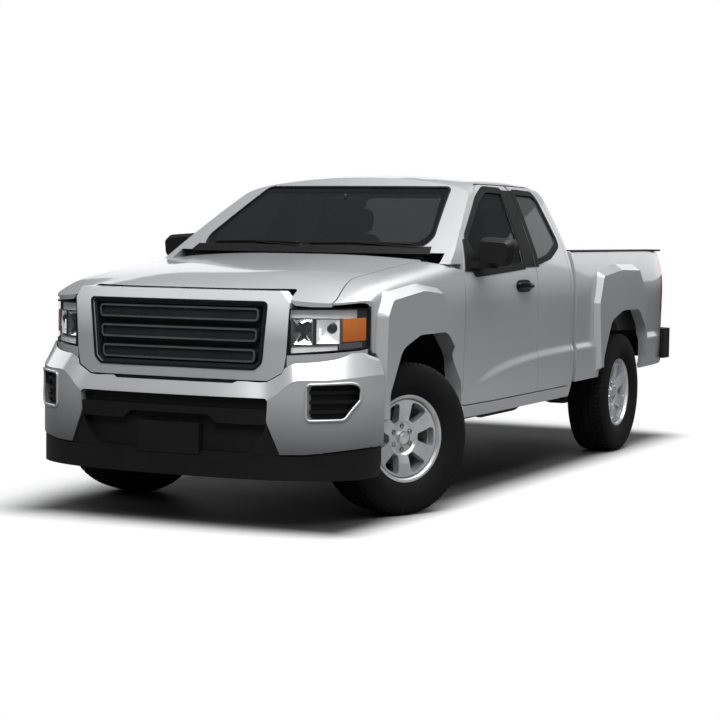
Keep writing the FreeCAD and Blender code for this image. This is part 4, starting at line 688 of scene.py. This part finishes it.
# Wipers: where each arm turns, and where its blade ends and begins
WIPERS = ((0.655, 0.015, 0.600), (-0.030, -0.610, -0.055))
WIPER_FOOT_Z = 1.347
WIPER_JOINT_Z = 1.3665
BLADE_Z = 1.3625
BLADE_BOW = 0.006
WIPER_PIVOT = [(0.015, -0.008), (0.015, 0.003), (0.010, 0.006), (0.0, 0.0065)]

# Door handle: its height, and the cup's middle, half length and half height
HANDLE_Z = 1.131
CUP_PLACE = (-0.318, 1.129)
CUP_HALF = 0.118
CUP_TALL = 0.036
LOCK_Y = -0.172
LOCK = [(0.011, -0.004), (0.011, 0.0022), (0.009, 0.003), (0.0, 0.003)]

# Grille bars, rails of the bed and top of the tailgate
GRILLE_FOOT = 0.772
GRILLE_PITCH = 0.310 / 3.15
GRILLE_BARS = 3
BED_RAIL_Z = 1.324
GATE_TOP_Z = 1.300


def build_glass_trim(finish):
    """Windscreen seal and dark border, cowl cover, wipers, window seals, pillar covers and sails."""
    black, rubber = finish["gloss_black"], finish["rubber"]
    seal = band("screen_seal", SCREEN, -0.0004, -0.009, on_screen, -0.003, 0.011, rubber)
    first, last = finer(rounded(grown(SCREEN, -0.002)), rounded(SCREEN_CLEAR), 0.04)
    frit = sheet("screen_border", first, last, 3, on_screen, -0.0134, 0.0006, black, closed=True)
    cover = sheet("cowl_cover", line((-0.736, 1.312), (0.736, 1.312), 40),
                  line((-0.719, 1.352), (0.719, 1.352), 40), 3, on_screen, 0.0015, 0.006, rubber)
    for piece in (seal, frit, cover):
        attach(piece, "chassis")
    parts = []
    for k, (pivot, tip, root) in enumerate(WIPERS):
        x = np.linspace(root, tip, 24)
        blade = on_screen(x, BLADE_Z + BLADE_BOW * np.sin(np.linspace(0, math.pi, 24)), -0.006)
        parts.append(tube("blade_%d" % k, blade, 0.0055, rubber, 8, flat=1.3))
        x = np.linspace(pivot, (root + tip) / 2, 16)
        bow = np.sin(np.linspace(0, math.pi, 16))
        arm = on_screen(x, np.linspace(WIPER_FOOT_Z, WIPER_JOINT_Z, 16), -0.004 + 0.005 * bow)
        parts.append(tube("arm_%d" % k, arm, np.linspace(0.010, 0.006, 16), rubber, 10, flat=0.6))
        spot = on_screen(np.array([pivot]), np.array([WIPER_FOOT_Z]), -0.004)[0]
        parts.append(lathe("pivot_%d" % k, WIPER_PIVOT, spot, (0, -0.5, 0.86), rubber, 24))
    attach(joined("wipers", parts), "chassis")
    front = [band("window_seal", FRONT_WINDOW, 0.026, -0.010, on_side, 0.0012, 0.006, rubber, rows=3)]
    z = np.linspace(1.236, 1.680, 16)
    edge = -0.084 + 0.062 * np.clip((z - 1.230) / 0.476, 0, 1)
    front.append(sheet("pillar", np.column_stack([-0.264 + 0.086 * (z - 1.250) / 0.418, z]),
                       np.column_stack([edge - 0.003, z]), 3, on_side, 0.0024, 0.004, rubber))
    sail = sheet("sail", line((-1.143, 1.222), (-1.044, 1.392), 10),
                 line((-0.930, 1.218), (-0.972, 1.402), 10), 5, on_side, 0.0016, 0.005, rubber)
    both_sides(joined("front_window_trim", front + [sail]), "front_door_left", "front_door_right")
    rear = [band("window_seal", QUARTER_WINDOW, 0.022, -0.010, on_side, 0.0012, 0.006, rubber, rows=3),
            sheet("pillar", np.column_stack([edge + 0.009, z]),
                  np.column_stack([-0.026 + 0.060 * (z - 1.268) / 0.400, z]), 2, on_side, 0.0024, 0.004,
                  rubber)]
    both_sides(joined("quarter_window_trim", rear), "rear_door_left", "rear_door_right")


def on_mirror(x, z, lift):
    """The mirror's rear face at (x, z), moved back by lift."""
    return np.stack([x, MIRROR_Y + lift + 0 * x, z], -1)


def build_side_trim(finish):
    """Door handles with their cups and locks, and mirror glasses."""
    y = np.linspace(-0.425, -0.195, 40)
    rise = np.sin(np.linspace(0, math.pi, 40)) ** 0.45
    bar = on_side(y, HANDLE_Z + 0 * y, 0.004 + 0.028 * rise)
    strap = tube("strap", bar, 0.0065 + 0.0015 * rise, finish["gloss_black"], 16, flat=2.3)
    y = CUP_PLACE[0] + CUP_HALF * np.cos(np.linspace(math.pi, 0, 33))
    tall = CUP_TALL * np.maximum(1 - ((y - CUP_PLACE[0]) / CUP_HALF) ** 4, 0.0004) ** 0.5
    cup = sheet("cup", np.column_stack([y, CUP_PLACE[1] - tall]), np.column_stack([y, CUP_PLACE[1] + tall]),
                4, on_side, 0.0012, 0.003, finish["gloss_black"])
    spot = on_side(np.array([LOCK_Y]), np.array([HANDLE_Z]), 0)[0]
    lock = lathe("lock", LOCK, spot, (1, 0, 0.02), finish["steel"], 24)
    both_sides(joined("door_handle", [strap, cup, lock]), "front_door_left", "front_door_right")
    o = rounded(MIRROR_FACE)
    mid = o.mean(0)
    glass = sheet("mirror_glass", o, mid + (o - mid) * 0.02, 3, on_mirror, 0.0012, 0.003,
                  finish["mirror_glass"], closed=True)
    frame_ring = band("mirror_edge", MIRROR_FACE, 0.004, -0.002, on_mirror, 0.0022, 0.004, finish["trim"], 0.02)
    both_sides(joined("mirror_face", [glass, frame_ring]), "front_door_left", "front_door_right")


def build_front_trim(finish):
    """Rims on the grille's bars, the line round it, the slot below it, fog lips and lamp sills."""
    edges = []
    for k in range(GRILLE_BARS):
        z = GRILLE_FOOT + GRILLE_PITCH * (k + 0.58)
        half = 0.452 - 0.009 * (GRILLE_BARS - 1 - k)
        bar = even([(half, z + 0.033, 0.022), (half - 0.005, z - 0.033, 0.022)])
        edges.append(band("edge_%d" % k, bar, -0.0015, -0.0105, on_nose, -0.0112, 0.002,
                          finish["grille_edge"], 0.03))
    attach(joined("grille_edges", edges), "chassis")
    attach(band("grille_line", GRILLE_HOLE, 0.0100, -0.0010, on_nose, 0.0030, 0.006, finish["trim"], 0.03),
            "chassis")
    slot = sheet("slot_line", line((-0.352, 0.711), (0.352, 0.711), 40),
                 line((-0.325, 0.699), (0.325, 0.699), 40), 2, on_facet, 0.0012, 0.004, finish["gloss_black"])
    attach(slot, "chassis")
    ring = finer(rounded(grown(FOG_HOLE, 0.004)), rounded(FOG_HOLE), 0.03)[0]
    lip = tube("fog_lip", on_bumper(ring[:, 0], ring[:, 1], 0.0005), 0.0065, finish["paint"], 12, closed=True)
    both_sides(lip, "chassis", "chassis")
    x = lamp_x(0.590, 0.884, 40)
    high = np.interp(np.linspace(0, 1, 40), (0, 0.9, 1), (0.8365, 0.859, 0.866))
    sill = sheet("lamp_sill", np.column_stack([x, np.full(40, 0.752)]), np.column_stack([x, high]), 5, on_nose,
                 -0.001, 0.004, finish["paint"])
    both_sides(sill, "chassis", "chassis")


def on_rail(x, y, lift):
    """The bed rail's top at (x, y), moved up by lift."""
    return np.stack([x, y, BED_RAIL_Z + lift + 0 * x], -1)


def on_gate(x, y, lift):
    """The tailgate's top at (x, y), moved up by lift."""
    return np.stack([x, y, GATE_TOP_Z + lift + 0 * x], -1)


def build_rear_trim(finish):
    """Bed rail caps, the tailgate's cap and pull, and the high brake lamp."""
    y = np.linspace(0.602, 2.575, 50)
    outer = on_side(y, BED_RAIL_Z - 0.004 + 0 * y, 0.0012)[:, 0]
    crown = sheet("cap", np.column_stack([0.7305 + 0 * y, y]), np.column_stack([outer, y]), 4, on_rail,
                  0.0055, 0.0065, finish["trim"])
    lip = tube("lip", np.column_stack([outer - 0.004, y, BED_RAIL_Z - 0.0005 + 0 * y]), 0.0065,
               finish["trim"], 10)
    both_sides(joined("bed_rail_cap", [crown, lip]), "chassis", "chassis")
    cap = sheet("gate_cap", line((-0.722, 2.545), (0.722, 2.545), 30),
                line((-0.722, 2.5925), (0.722, 2.5925), 30), 3, on_gate, 0.005, 0.010, finish["trim"])
    handle = rounded_box("gate_pull", (0, 2.586, 1.240), (0.084, 0.009, 0.021), (3, 6), finish["gloss_black"])
    for piece in (cap, handle):
        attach(piece, "tailgate")
    lamp = rounded_box("high_brake_lamp", (0, 0.487, 1.722), (0.130, 0.012, 0.013), (4, 6),
                       finish["red_lens"])
    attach(lamp, "chassis")


# Seats: half the way between them, and how much a pad swells
SEAT_X = 0.37
SWELL = 0.12


def cushion(name, centre, half, power, lean, material):
    """A stuffed pad: a crowned superellipsoid whose faces swell towards their middle, leant about its width.

    Each point moves out along its thin side by the swell times (1 - (x/a)2)(1 - (z/h)2) of itself.
    """
    obj = rounded_box(name, (0, 0, 0), half, power, material, 36, 72, 80)
    p = points_of(obj)
    thin = int(np.argmin(half))
    wide = [k for k in range(3) if k != thin]
    swell = (1 - (p[:, wide[0]] / half[wide[0]]) ** 2) * (1 - (p[:, wide[1]] / half[wide[1]]) ** 2)
    p[:, thin] *= 1 + SWELL * swell
    obj.data.vertices.foreach_set("co", p.ravel())
    obj.data.transform(Matrix.Translation(centre) @ Matrix.Rotation(math.radians(lean), 4, "X"))
    obj.data.update()
    return obj


def build_seats(finish):
    """Two front seats and the rear bench, as pads on plain bases."""
    cloth, grey = finish["seat_cloth"], finish["cabin_grey"]
    for side, word in ((1, "left"), (-1, "right")):
        x = side * SEAT_X
        pads = [
            cushion("seat_cushion_" + word, (x, -0.36, 0.732), (0.232, 0.262, 0.068), (2.6, 4.5), -3, cloth),
            cushion("seat_back_" + word, (x, -0.040, 1.105), (0.236, 0.062, 0.322), (4.5, 3.0), -12, cloth),
            cushion("headrest_" + word, (x, 0.076, 1.496), (0.126, 0.042, 0.078), (3.6, 3.0), -10, cloth)]
        base = rounded_box("seat_base", (x, -0.36, 0.578), (0.205, 0.235, 0.086), (8, 8), grey)
        posts = [tube("post", [(x + s, 0.040, 1.400), (x + s, 0.072, 1.470)], 0.007, finish["steel"], 10)
                 for s in (-0.06, 0.06)]
        frame_piece = joined("seat_frame_" + word, [base] + posts)
        for piece in pads + [frame_piece]:
            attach(piece, "chassis")
            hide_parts("front_seats")
    pads = [cushion("bench_cushion", (0, 0.325, 0.752), (0.632, 0.122, 0.062), (2.6, 6), -2, cloth),
            cushion("bench_back", (0, 0.425, 1.050), (0.632, 0.042, 0.245), (5, 3.0), 0, cloth)]
    base = rounded_box("bench_base", (0, 0.330, 0.652), (0.630, 0.122, 0.040), (8, 8), grey)
    for piece in pads + [base]:
        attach(piece, "chassis")
        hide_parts("rear_bench")


def build_cabin(finish):
    """The mirror inside, which shows through the windscreen."""
    head = rounded_box("inside_mirror", (0, -0.775, 1.590), (0.120, 0.016, 0.034), (3, 4),
                       finish["cabin_grey"])
    stalk = tube("mirror_stalk", [(0, -0.790, 1.600), (0, -0.806, 1.622), (0, -0.800, 1.640)], 0.008,
                 finish["cabin_grey"], 8)
    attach(joined("inside_mirror", [head, stalk]), "chassis")


# Materials

def shader(name, colour, rough, metal=0.0, **sockets):
    """A principled material, its node tree and its shader, with constant sockets set directly."""
    mat = bpy.data.materials.new(name)
    mat.use_nodes = True
    bsdf = mat.node_tree.nodes["Principled BSDF"]
    bsdf.inputs["Base Color"].default_value = (*colour, 1.0)
    bsdf.inputs["Roughness"].default_value = rough
    bsdf.inputs["Metallic"].default_value = metal
    for key, value in sockets.items():
        bsdf.inputs[key.replace("_", " ")].default_value = value
    return mat, mat.node_tree, bsdf


def noise(tree, scale, detail=3.0, stretch=(1, 1, 1)):
    """A noise field on the piece's own coordinates."""
    coord = tree.nodes.new("ShaderNodeTexCoord")
    place = tree.nodes.new("ShaderNodeMapping")
    place.inputs["Scale"].default_value = stretch
    field = tree.nodes.new("ShaderNodeTexNoise")
    field.inputs["Scale"].default_value = scale
    field.inputs["Detail"].default_value = detail
    tree.links.new(coord.outputs["Object"], place.inputs["Vector"])
    tree.links.new(place.outputs["Vector"], field.inputs["Vector"])
    return field.outputs["Fac"]


def along(tree, axis):
    """One of the piece's own coordinates, in metres."""
    coord = tree.nodes.new("ShaderNodeTexCoord")
    split = tree.nodes.new("ShaderNodeSeparateXYZ")
    tree.links.new(coord.outputs["Object"], split.inputs["Vector"])
    return split.outputs[axis]


def spread(tree, field, low, high, dark, light):
    """A colour that runs from dark to light as a field runs from low to high."""
    ramp = tree.nodes.new("ShaderNodeValToRGB")
    ramp.color_ramp.elements[0].position = low
    ramp.color_ramp.elements[1].position = high
    ramp.color_ramp.elements[0].color = (*dark, 1.0)
    ramp.color_ramp.elements[1].color = (*light, 1.0)
    tree.links.new(field, ramp.inputs["Fac"])
    return ramp.outputs["Color"]


def scaled(tree, field, low, high, start=0.0, end=1.0):
    """A number that runs from low to high as a field runs from start to end."""
    ranged = tree.nodes.new("ShaderNodeMapRange")
    for key, value in (("From Min", start), ("From Max", end), ("To Min", low), ("To Max", high)):
        ranged.inputs[key].default_value = value
    tree.links.new(field, ranged.inputs["Value"])
    return ranged.outputs["Result"]


def raise_by(tree, bsdf, field, depth, strength=1.0):
    """Bump from a field, depth metres from its low to its high."""
    bump = tree.nodes.new("ShaderNodeBump")
    bump.inputs["Distance"].default_value = depth
    bump.inputs["Strength"].default_value = strength
    tree.links.new(field, bump.inputs["Height"])
    tree.links.new(bump.outputs["Normal"], bsdf.inputs["Normal"])


# Silver paint: its clear coat, its uneven gloss and its faint orange peel; and the shine of black plastic
COAT = 0.8
COAT_ROUGH = 0.05
PEEL_SCALE = 140.0
PEEL_DEPTH = 0.0002
DARK_SHINE = 0.14
WAVE_TURN = 6.283


def silver_paint():
    """Metallic silver under clear coat, with fine flake and faint orange peel."""
    mat, tree, bsdf = shader("silver_paint", (0.5, 0.51, 0.52), 0.36, 0.48,
                             Coat_Weight=COAT, Coat_Roughness=COAT_ROUGH, Coat_IOR=1.5)
    flake = noise(tree, 900.0, 1.0)
    tree.links.new(spread(tree, flake, 0.3, 0.7, (0.40, 0.405, 0.412), (0.48, 0.485, 0.493)),
                   bsdf.inputs["Base Color"])
    tree.links.new(scaled(tree, noise(tree, 6.0), 0.31, 0.4), bsdf.inputs["Roughness"])
    raise_by(tree, bsdf, noise(tree, PEEL_SCALE, 2.0), PEEL_DEPTH, 0.10)
    return mat


def silver_with_painted_light(name, low, high, dark, light):
    """Silver that runs from dark to light between two heights: painted shade where the real panel rolls under,
    painted highlight where it leans back.
    """
    mat, tree, bsdf = shader(name, light, 0.3, 0.35, Coat_Weight=COAT, Coat_Roughness=COAT_ROUGH)
    height = scaled(tree, along(tree, "Z"), 0.0, 1.0, low, high)
    tree.links.new(spread(tree, height, 0.0, 1.0, dark, light), bsdf.inputs["Base Color"])
    tree.links.new(scaled(tree, noise(tree, 6.0), 0.26, 0.36), bsdf.inputs["Roughness"])
    raise_by(tree, bsdf, noise(tree, PEEL_SCALE, 2.0), PEEL_DEPTH, 0.10)
    return mat


def grained(name, colour, rough, grain=420.0, depth=0.0004, metal=0.0, **sockets):
    """Moulded plastic or cast metal with a fine grain and uneven gloss; dark plastic shines less."""
    if metal == 0.0 and max(colour) < 0.2:
        sockets.setdefault("Specular_IOR_Level", DARK_SHINE)
    mat, tree, bsdf = shader(name, colour, rough, metal, **sockets)
    field = noise(tree, grain, 4.0)
    dark = tuple(c * 0.82 for c in colour)
    light = tuple(min(1.0, c * 1.22) for c in colour)
    tree.links.new(spread(tree, noise(tree, 7.0, 4.0), 0.25, 0.75, dark, light), bsdf.inputs["Base Color"])
    tree.links.new(scaled(tree, field, max(rough - 0.08, 0.01), rough + 0.08), bsdf.inputs["Roughness"])
    raise_by(tree, bsdf, field, depth, 0.5)
    return mat


def clear_glass(name, colour, alpha=0.35, shine=0.5):
    """Thin tinted glass, seen through by mixing in plain transparency."""
    mat, tree, bsdf = shader(name, colour, 0.02, 0.0, Alpha=alpha, Specular_IOR_Level=shine)
    tree.links.new(scaled(tree, noise(tree, 3.0, 2.0), 0.008, 0.03), bsdf.inputs["Roughness"])
    mat.surface_render_method = "DITHERED"
    return mat


def ribbed_lens(name, dark, light, start, end, pitch):
    """Coloured lens plastic: its colour runs from dark to light by height, with upright ribs as bump."""
    mat, tree, bsdf = shader(name, light, 0.1, 0.0, Coat_Weight=0.25, Coat_Roughness=0.03,
                             Specular_IOR_Level=0.3)
    height = scaled(tree, along(tree, "Z"), 0.0, 1.0, start, end)
    tree.links.new(spread(tree, height, 0.0, 1.0, dark, light), bsdf.inputs["Base Color"])
    wave = tree.nodes.new("ShaderNodeTexWave")
    wave.inputs["Scale"].default_value = 1 / pitch / WAVE_TURN
    coord = tree.nodes.new("ShaderNodeTexCoord")
    tree.links.new(coord.outputs["Object"], wave.inputs["Vector"])
    raise_by(tree, bsdf, wave.outputs["Fac"], 0.0012, 0.5)
    return mat


def build_materials():
    """Every finish by its plain name."""
    return {
        "paint": silver_paint(),
        # The surround's colour grows lighter towards its top: a painted highlight for a top band that leans
        # back.
        "surround_silver_painted_highlight": silver_with_painted_light("surround_silver_painted_highlight", 0.90, 1.10,
                                         (0.42, 0.425, 0.43), (0.98, 0.985, 0.99)),
        # The bumper's colour grows darker towards its foot: painted shade where it rolls under.
        "bumper_silver_painted_shade": silver_with_painted_light("bumper_silver_painted_shade", 0.38, 0.66,
                                       (0.09, 0.092, 0.094), (0.40, 0.405, 0.412)),
        "trim": grained("black_trim", (0.0065, 0.0065, 0.007), 0.5),
        "frame_black": grained("frame_paint", (0.009, 0.009, 0.0095), 0.45, 90.0),
        "iron": grained("cast_iron", (0.11, 0.105, 0.1), 0.6, 200.0, 0.0008, 0.6),
        "steel": grained("plain_steel", (0.32, 0.31, 0.3), 0.38, 120.0, 0.0002, 0.9),
        "alloy": grained("wheel_alloy", (0.66, 0.67, 0.69), 0.3, 500.0, 0.0001, 0.75),
        "chrome": grained("bright_chrome", (0.82, 0.83, 0.84), 0.10, 300.0, 0.00002, 1.0),
        "grille_grey": grained("grille_plastic", (0.017, 0.0175, 0.019), 0.30, 300.0, 0.0001),
        "cabin_grey": grained("cabin_plastic", (0.022, 0.022, 0.024), 0.6),
        "seat_cloth": grained("seat_weave", (0.05, 0.05, 0.054), 0.85, 900.0, 0.0008),
        "glass": clear_glass("tinted_glass", (0.006, 0.007, 0.007), alpha=0.86, shine=0.08),
        "screen_glass": clear_glass("screen_glass", (0.012, 0.013, 0.014), alpha=0.60, shine=0.08),
        "privacy_glass": clear_glass("privacy_glass", (0.045, 0.047, 0.048), alpha=0.90, shine=0.07),
        "lens": clear_glass("lamp_lens", (0.25, 0.26, 0.27), alpha=0.05, shine=0.5),
        "red_lens": ribbed_lens("red_lens", (0.30, 0.016, 0.005), (0.62, 0.085, 0.02), 0.92, 1.16, 0.006),
        "tyre": grained("tyre_rubber", (0.0055, 0.0055, 0.006), 0.8, 300.0, 0.0006),
        "rubber": grained("soft_rubber", (0.004, 0.004, 0.004), 0.6),
        "liner": grained("liner_felt", (0.004, 0.004, 0.004), 0.95, 250.0, 0.002),
        "gloss_black": grained("gloss_black", (0.004, 0.004, 0.0045), 0.2, 300.0, 0.00005),
        "lamp_black": grained("lamp_black", (0.006, 0.006, 0.0065), 0.35, 300.0, 0.0001),
        "lamp_satin": grained("lamp_satin", (0.90, 0.91, 0.92), 0.25, 300.0, 0.0001, 0.15),
        # White that glows though the lamp is not lit: a painted glint.
        "painted_glint": grained("light_pipe_painted_glint", (0.92, 0.93, 0.94), 0.2, 300.0, 0.0001,
                               Emission_Color=(1, 1, 1, 1), Emission_Strength=0.35),
        "eye": grained("projector_glass", (0.004, 0.0045, 0.006), 0.06, 300.0, 0.00001, Coat_Weight=0.25),
        "amber": ribbed_lens("amber_lens", (0.36, 0.075, 0.002), (0.50, 0.14, 0.005), 0.90, 1.02, 0.011),
        "nut": grained("dark_chrome", (0.42, 0.42, 0.43), 0.18, 300.0, 0.00002, 1.0),
        "grille_edge": grained("grille_edge", (0.062, 0.063, 0.067), 0.34, 300.0, 0.0001),
        "mirror_glass": grained("mirror_silver", (0.86, 0.87, 0.88), 0.03, 300.0, 0.00001, 1.0),
    }


OWN_FINISH = {"quarter_glass_left": "privacy_glass", "quarter_glass_right": "privacy_glass",
              "fixed_glass": "screen_glass", "grille_surround": "surround_silver_painted_highlight",
              "front_bumper": "bumper_silver_painted_shade"}


def dress_frame(finish):
    """Give every frame node the finish that its slot in the record names, or else its own."""
    for row in frame["record"]["subparts"]:
        node = NODES[row["node"]]
        for slot in node.material_slots:
            slot.material = finish[row["material_slot"]]
    for node, name in OWN_FINISH.items():
        for slot in NODES[node].material_slots:
            slot.material = finish[name]


# Studio

# Lamps: place, target, size and power
LAMPS = {
    "overhead": ((2.3, -0.6, 6.0), (1.9, -0.6, 0.5), (9.0, 4.0), 800.0),
    "back": ((-2.5, 10.0, 3.0), (-0.5, 0, 1.0), (14.0, 3.6), 165.0),
    "front": ((1.5, -7.5, 6.5), (0, -1.8, 0.8), (6.0, 3.5), 560.0),
    "left": ((8.0, -3.0, 4.2), (0, -0.2, 0.9), (7.0, 2.6), 60.0),
    "right": ((-7.5, -1.0, 4.0), (0, 0, 0.9), (6.0, 3.0), 110.0),
}
ROOM_STRENGTH = 0.17
FLOOR_REACH = 60.0
SHADOW_BOX = (("X", 0.80), ("Y", 2.5))
FADE = (0.04, 0.78)
# How far past the shadow's box the floor's painted shadow reaches
PAINTED_SHADOW_REACH = 0.45
SENSOR_MM = 36.0


def build_camera():
    """The camera at the picture's place, with its perspective, roll and small shift."""
    back = Vector((math.sin(VIEW_AZIMUTH) * math.cos(VIEW_ELEVATION),
                   -math.cos(VIEW_AZIMUTH) * math.cos(VIEW_ELEVATION), math.sin(VIEW_ELEVATION)))
    right = (-back).cross(Vector((0, 0, 1))).normalized()
    up = right.cross(-back)
    c, s = math.cos(VIEW_ROLL), math.sin(VIEW_ROLL)
    right, up = right * c + up * s, up * c - right * s
    data = bpy.data.cameras.new("camera")
    data.sensor_width = SENSOR_MM
    data.lens = SENSOR_MM * FOCAL_PX / IMAGE_PX
    data.shift_x = (IMAGE_PX / 2 - CENTRE_PX[0]) / IMAGE_PX
    data.shift_y = (CENTRE_PX[1] - IMAGE_PX / 2) / IMAGE_PX
    data.clip_end = 200.0
    cam = bpy.data.objects.new("camera", data)
    turn = Matrix((right, up, back)).transposed().to_4x4()
    cam.matrix_world = Matrix.Translation(VIEW_TARGET + back * VIEW_DISTANCE) @ turn
    bpy.context.scene.collection.objects.link(cam)
    bpy.context.scene.camera = cam


def area_light(name, place, target, size, power):
    """A soft rectangular lamp at a place, facing a target."""
    data = bpy.data.lights.new(name, "AREA")
    data.shape = "RECTANGLE"
    data.size, data.size_y = size
    data.energy = power
    lamp = bpy.data.objects.new(name, data)
    aim = (Vector(target) - Vector(place)).to_track_quat("-Z", "Y")
    lamp.matrix_world = Matrix.Translation(place) @ aim.to_matrix().to_4x4()
    bpy.context.scene.collection.objects.link(lamp)


def math_node(tree, operation, first, second=0.0):
    """The result of a sum on two fields or numbers."""
    node = tree.nodes.new("ShaderNodeMath")
    node.operation = operation
    for socket, value in zip(node.inputs, (first, second)):
        if isinstance(value, (int, float)):
            socket.default_value = value
        else:
            tree.links.new(value, socket)
    return node.outputs[0]


def pale_floor():
    """A pale floor with a painted shadow round the truck, that the camera sees fade to white past the truck's
    shadow, and that throws back little.

    The painted shadow and the fade both run with the distance outside the shadow's box, sqrt(max(|x|-a,0)2 +
    max(|y|-b,0)2).
    """
    mat, tree, bsdf = shader("pale_floor", (0.9, 0.9, 0.9), 0.7)
    raise_by(tree, bsdf, noise(tree, 30.0), 0.0004, 0.2)
    squares = []
    for axis, half in SHADOW_BOX:
        gap = math_node(tree, "SUBTRACT", math_node(tree, "ABSOLUTE", along(tree, axis)), half)
        gap = math_node(tree, "MAXIMUM", gap)
        squares.append(math_node(tree, "MULTIPLY", gap, gap))
    far = math_node(tree, "SQRT", math_node(tree, "ADD", *squares))
    # Painted shadow: the floor's colour runs from near-black inside the shadow's box to pale at
    # PAINTED_SHADOW_REACH past it.
    painted_shadow = scaled(tree, far, 0.0, 1.0, 0.0, PAINTED_SHADOW_REACH)
    tree.links.new(spread(tree, painted_shadow, 0.0, 1.0, (0.04, 0.04, 0.04), (0.9, 0.9, 0.9)),
                   bsdf.inputs["Base Color"])
    fade = tree.nodes.new("ShaderNodeMapRange")
    fade.interpolation_type = "SMOOTHSTEP"
    fade.inputs["From Min"].default_value, fade.inputs["From Max"].default_value = FADE
    tree.links.new(far, fade.inputs["Value"])
    path = tree.nodes.new("ShaderNodeLightPath")
    seen = math_node(tree, "MULTIPLY", fade.outputs["Result"], path.outputs["Is Camera Ray"])
    glow = tree.nodes.new("ShaderNodeEmission")
    dull = tree.nodes.new("ShaderNodeBsdfDiffuse")
    dull.inputs["Color"].default_value = (0.2, 0.2, 0.2, 1)
    near = tree.nodes.new("ShaderNodeMixShader")
    tree.links.new(path.outputs["Is Camera Ray"], near.inputs[0])
    tree.links.new(dull.outputs[0], near.inputs[1])
    tree.links.new(bsdf.outputs[0], near.inputs[2])
    mix = tree.nodes.new("ShaderNodeMixShader")
    tree.links.new(seen, mix.inputs[0])
    tree.links.new(near.outputs[0], mix.inputs[1])
    tree.links.new(glow.outputs[0], mix.inputs[2])
    tree.links.new(mix.outputs[0], tree.nodes["Material Output"].inputs["Surface"])
    return mat


def build_studio():
    """A pale floor that fades to white, a white world to the camera and soft lamps."""
    world = bpy.data.worlds.new("studio")
    bpy.context.scene.world = world
    world.use_nodes = True
    tree = world.node_tree
    back = tree.nodes["Background"]
    back.inputs["Color"].default_value = (0.92, 0.95, 1.0, 1)
    back.inputs["Strength"].default_value = ROOM_STRENGTH
    white = tree.nodes.new("ShaderNodeBackground")
    white.inputs["Color"].default_value = (1, 1, 1, 1)
    white.inputs["Strength"].default_value = 1.0
    path = tree.nodes.new("ShaderNodeLightPath")
    either = math_node(tree, "MAXIMUM", path.outputs["Is Camera Ray"], path.outputs["Is Transmission Ray"])
    mix = tree.nodes.new("ShaderNodeMixShader")
    tree.links.new(either, mix.inputs[0])
    tree.links.new(back.outputs[0], mix.inputs[1])
    tree.links.new(white.outputs[0], mix.inputs[2])
    tree.links.new(mix.outputs[0], tree.nodes["World Output"].inputs["Surface"])
    corners = np.array([(-1, -1, 0), (1, -1, 0), (1, 1, 0), (-1, 1, 0)]) * FLOOR_REACH
    floor = new_object("floor", corners, [(0, 1, 2, 3)], pale_floor(), False)
    for name, row in LAMPS.items():
        area_light(name, *row)


FINISH = build_materials()
dress_frame(FINISH)
build_wheels(FINISH)
build_headlamps(FINISH)
build_glass_trim(FINISH)
build_side_trim(FINISH)
build_front_trim(FINISH)
build_rear_trim(FINISH)
build_seats(FINISH)
build_cabin(FINISH)
build_camera()
build_studio()
bpy.context.scene.view_settings.view_transform = "Standard"
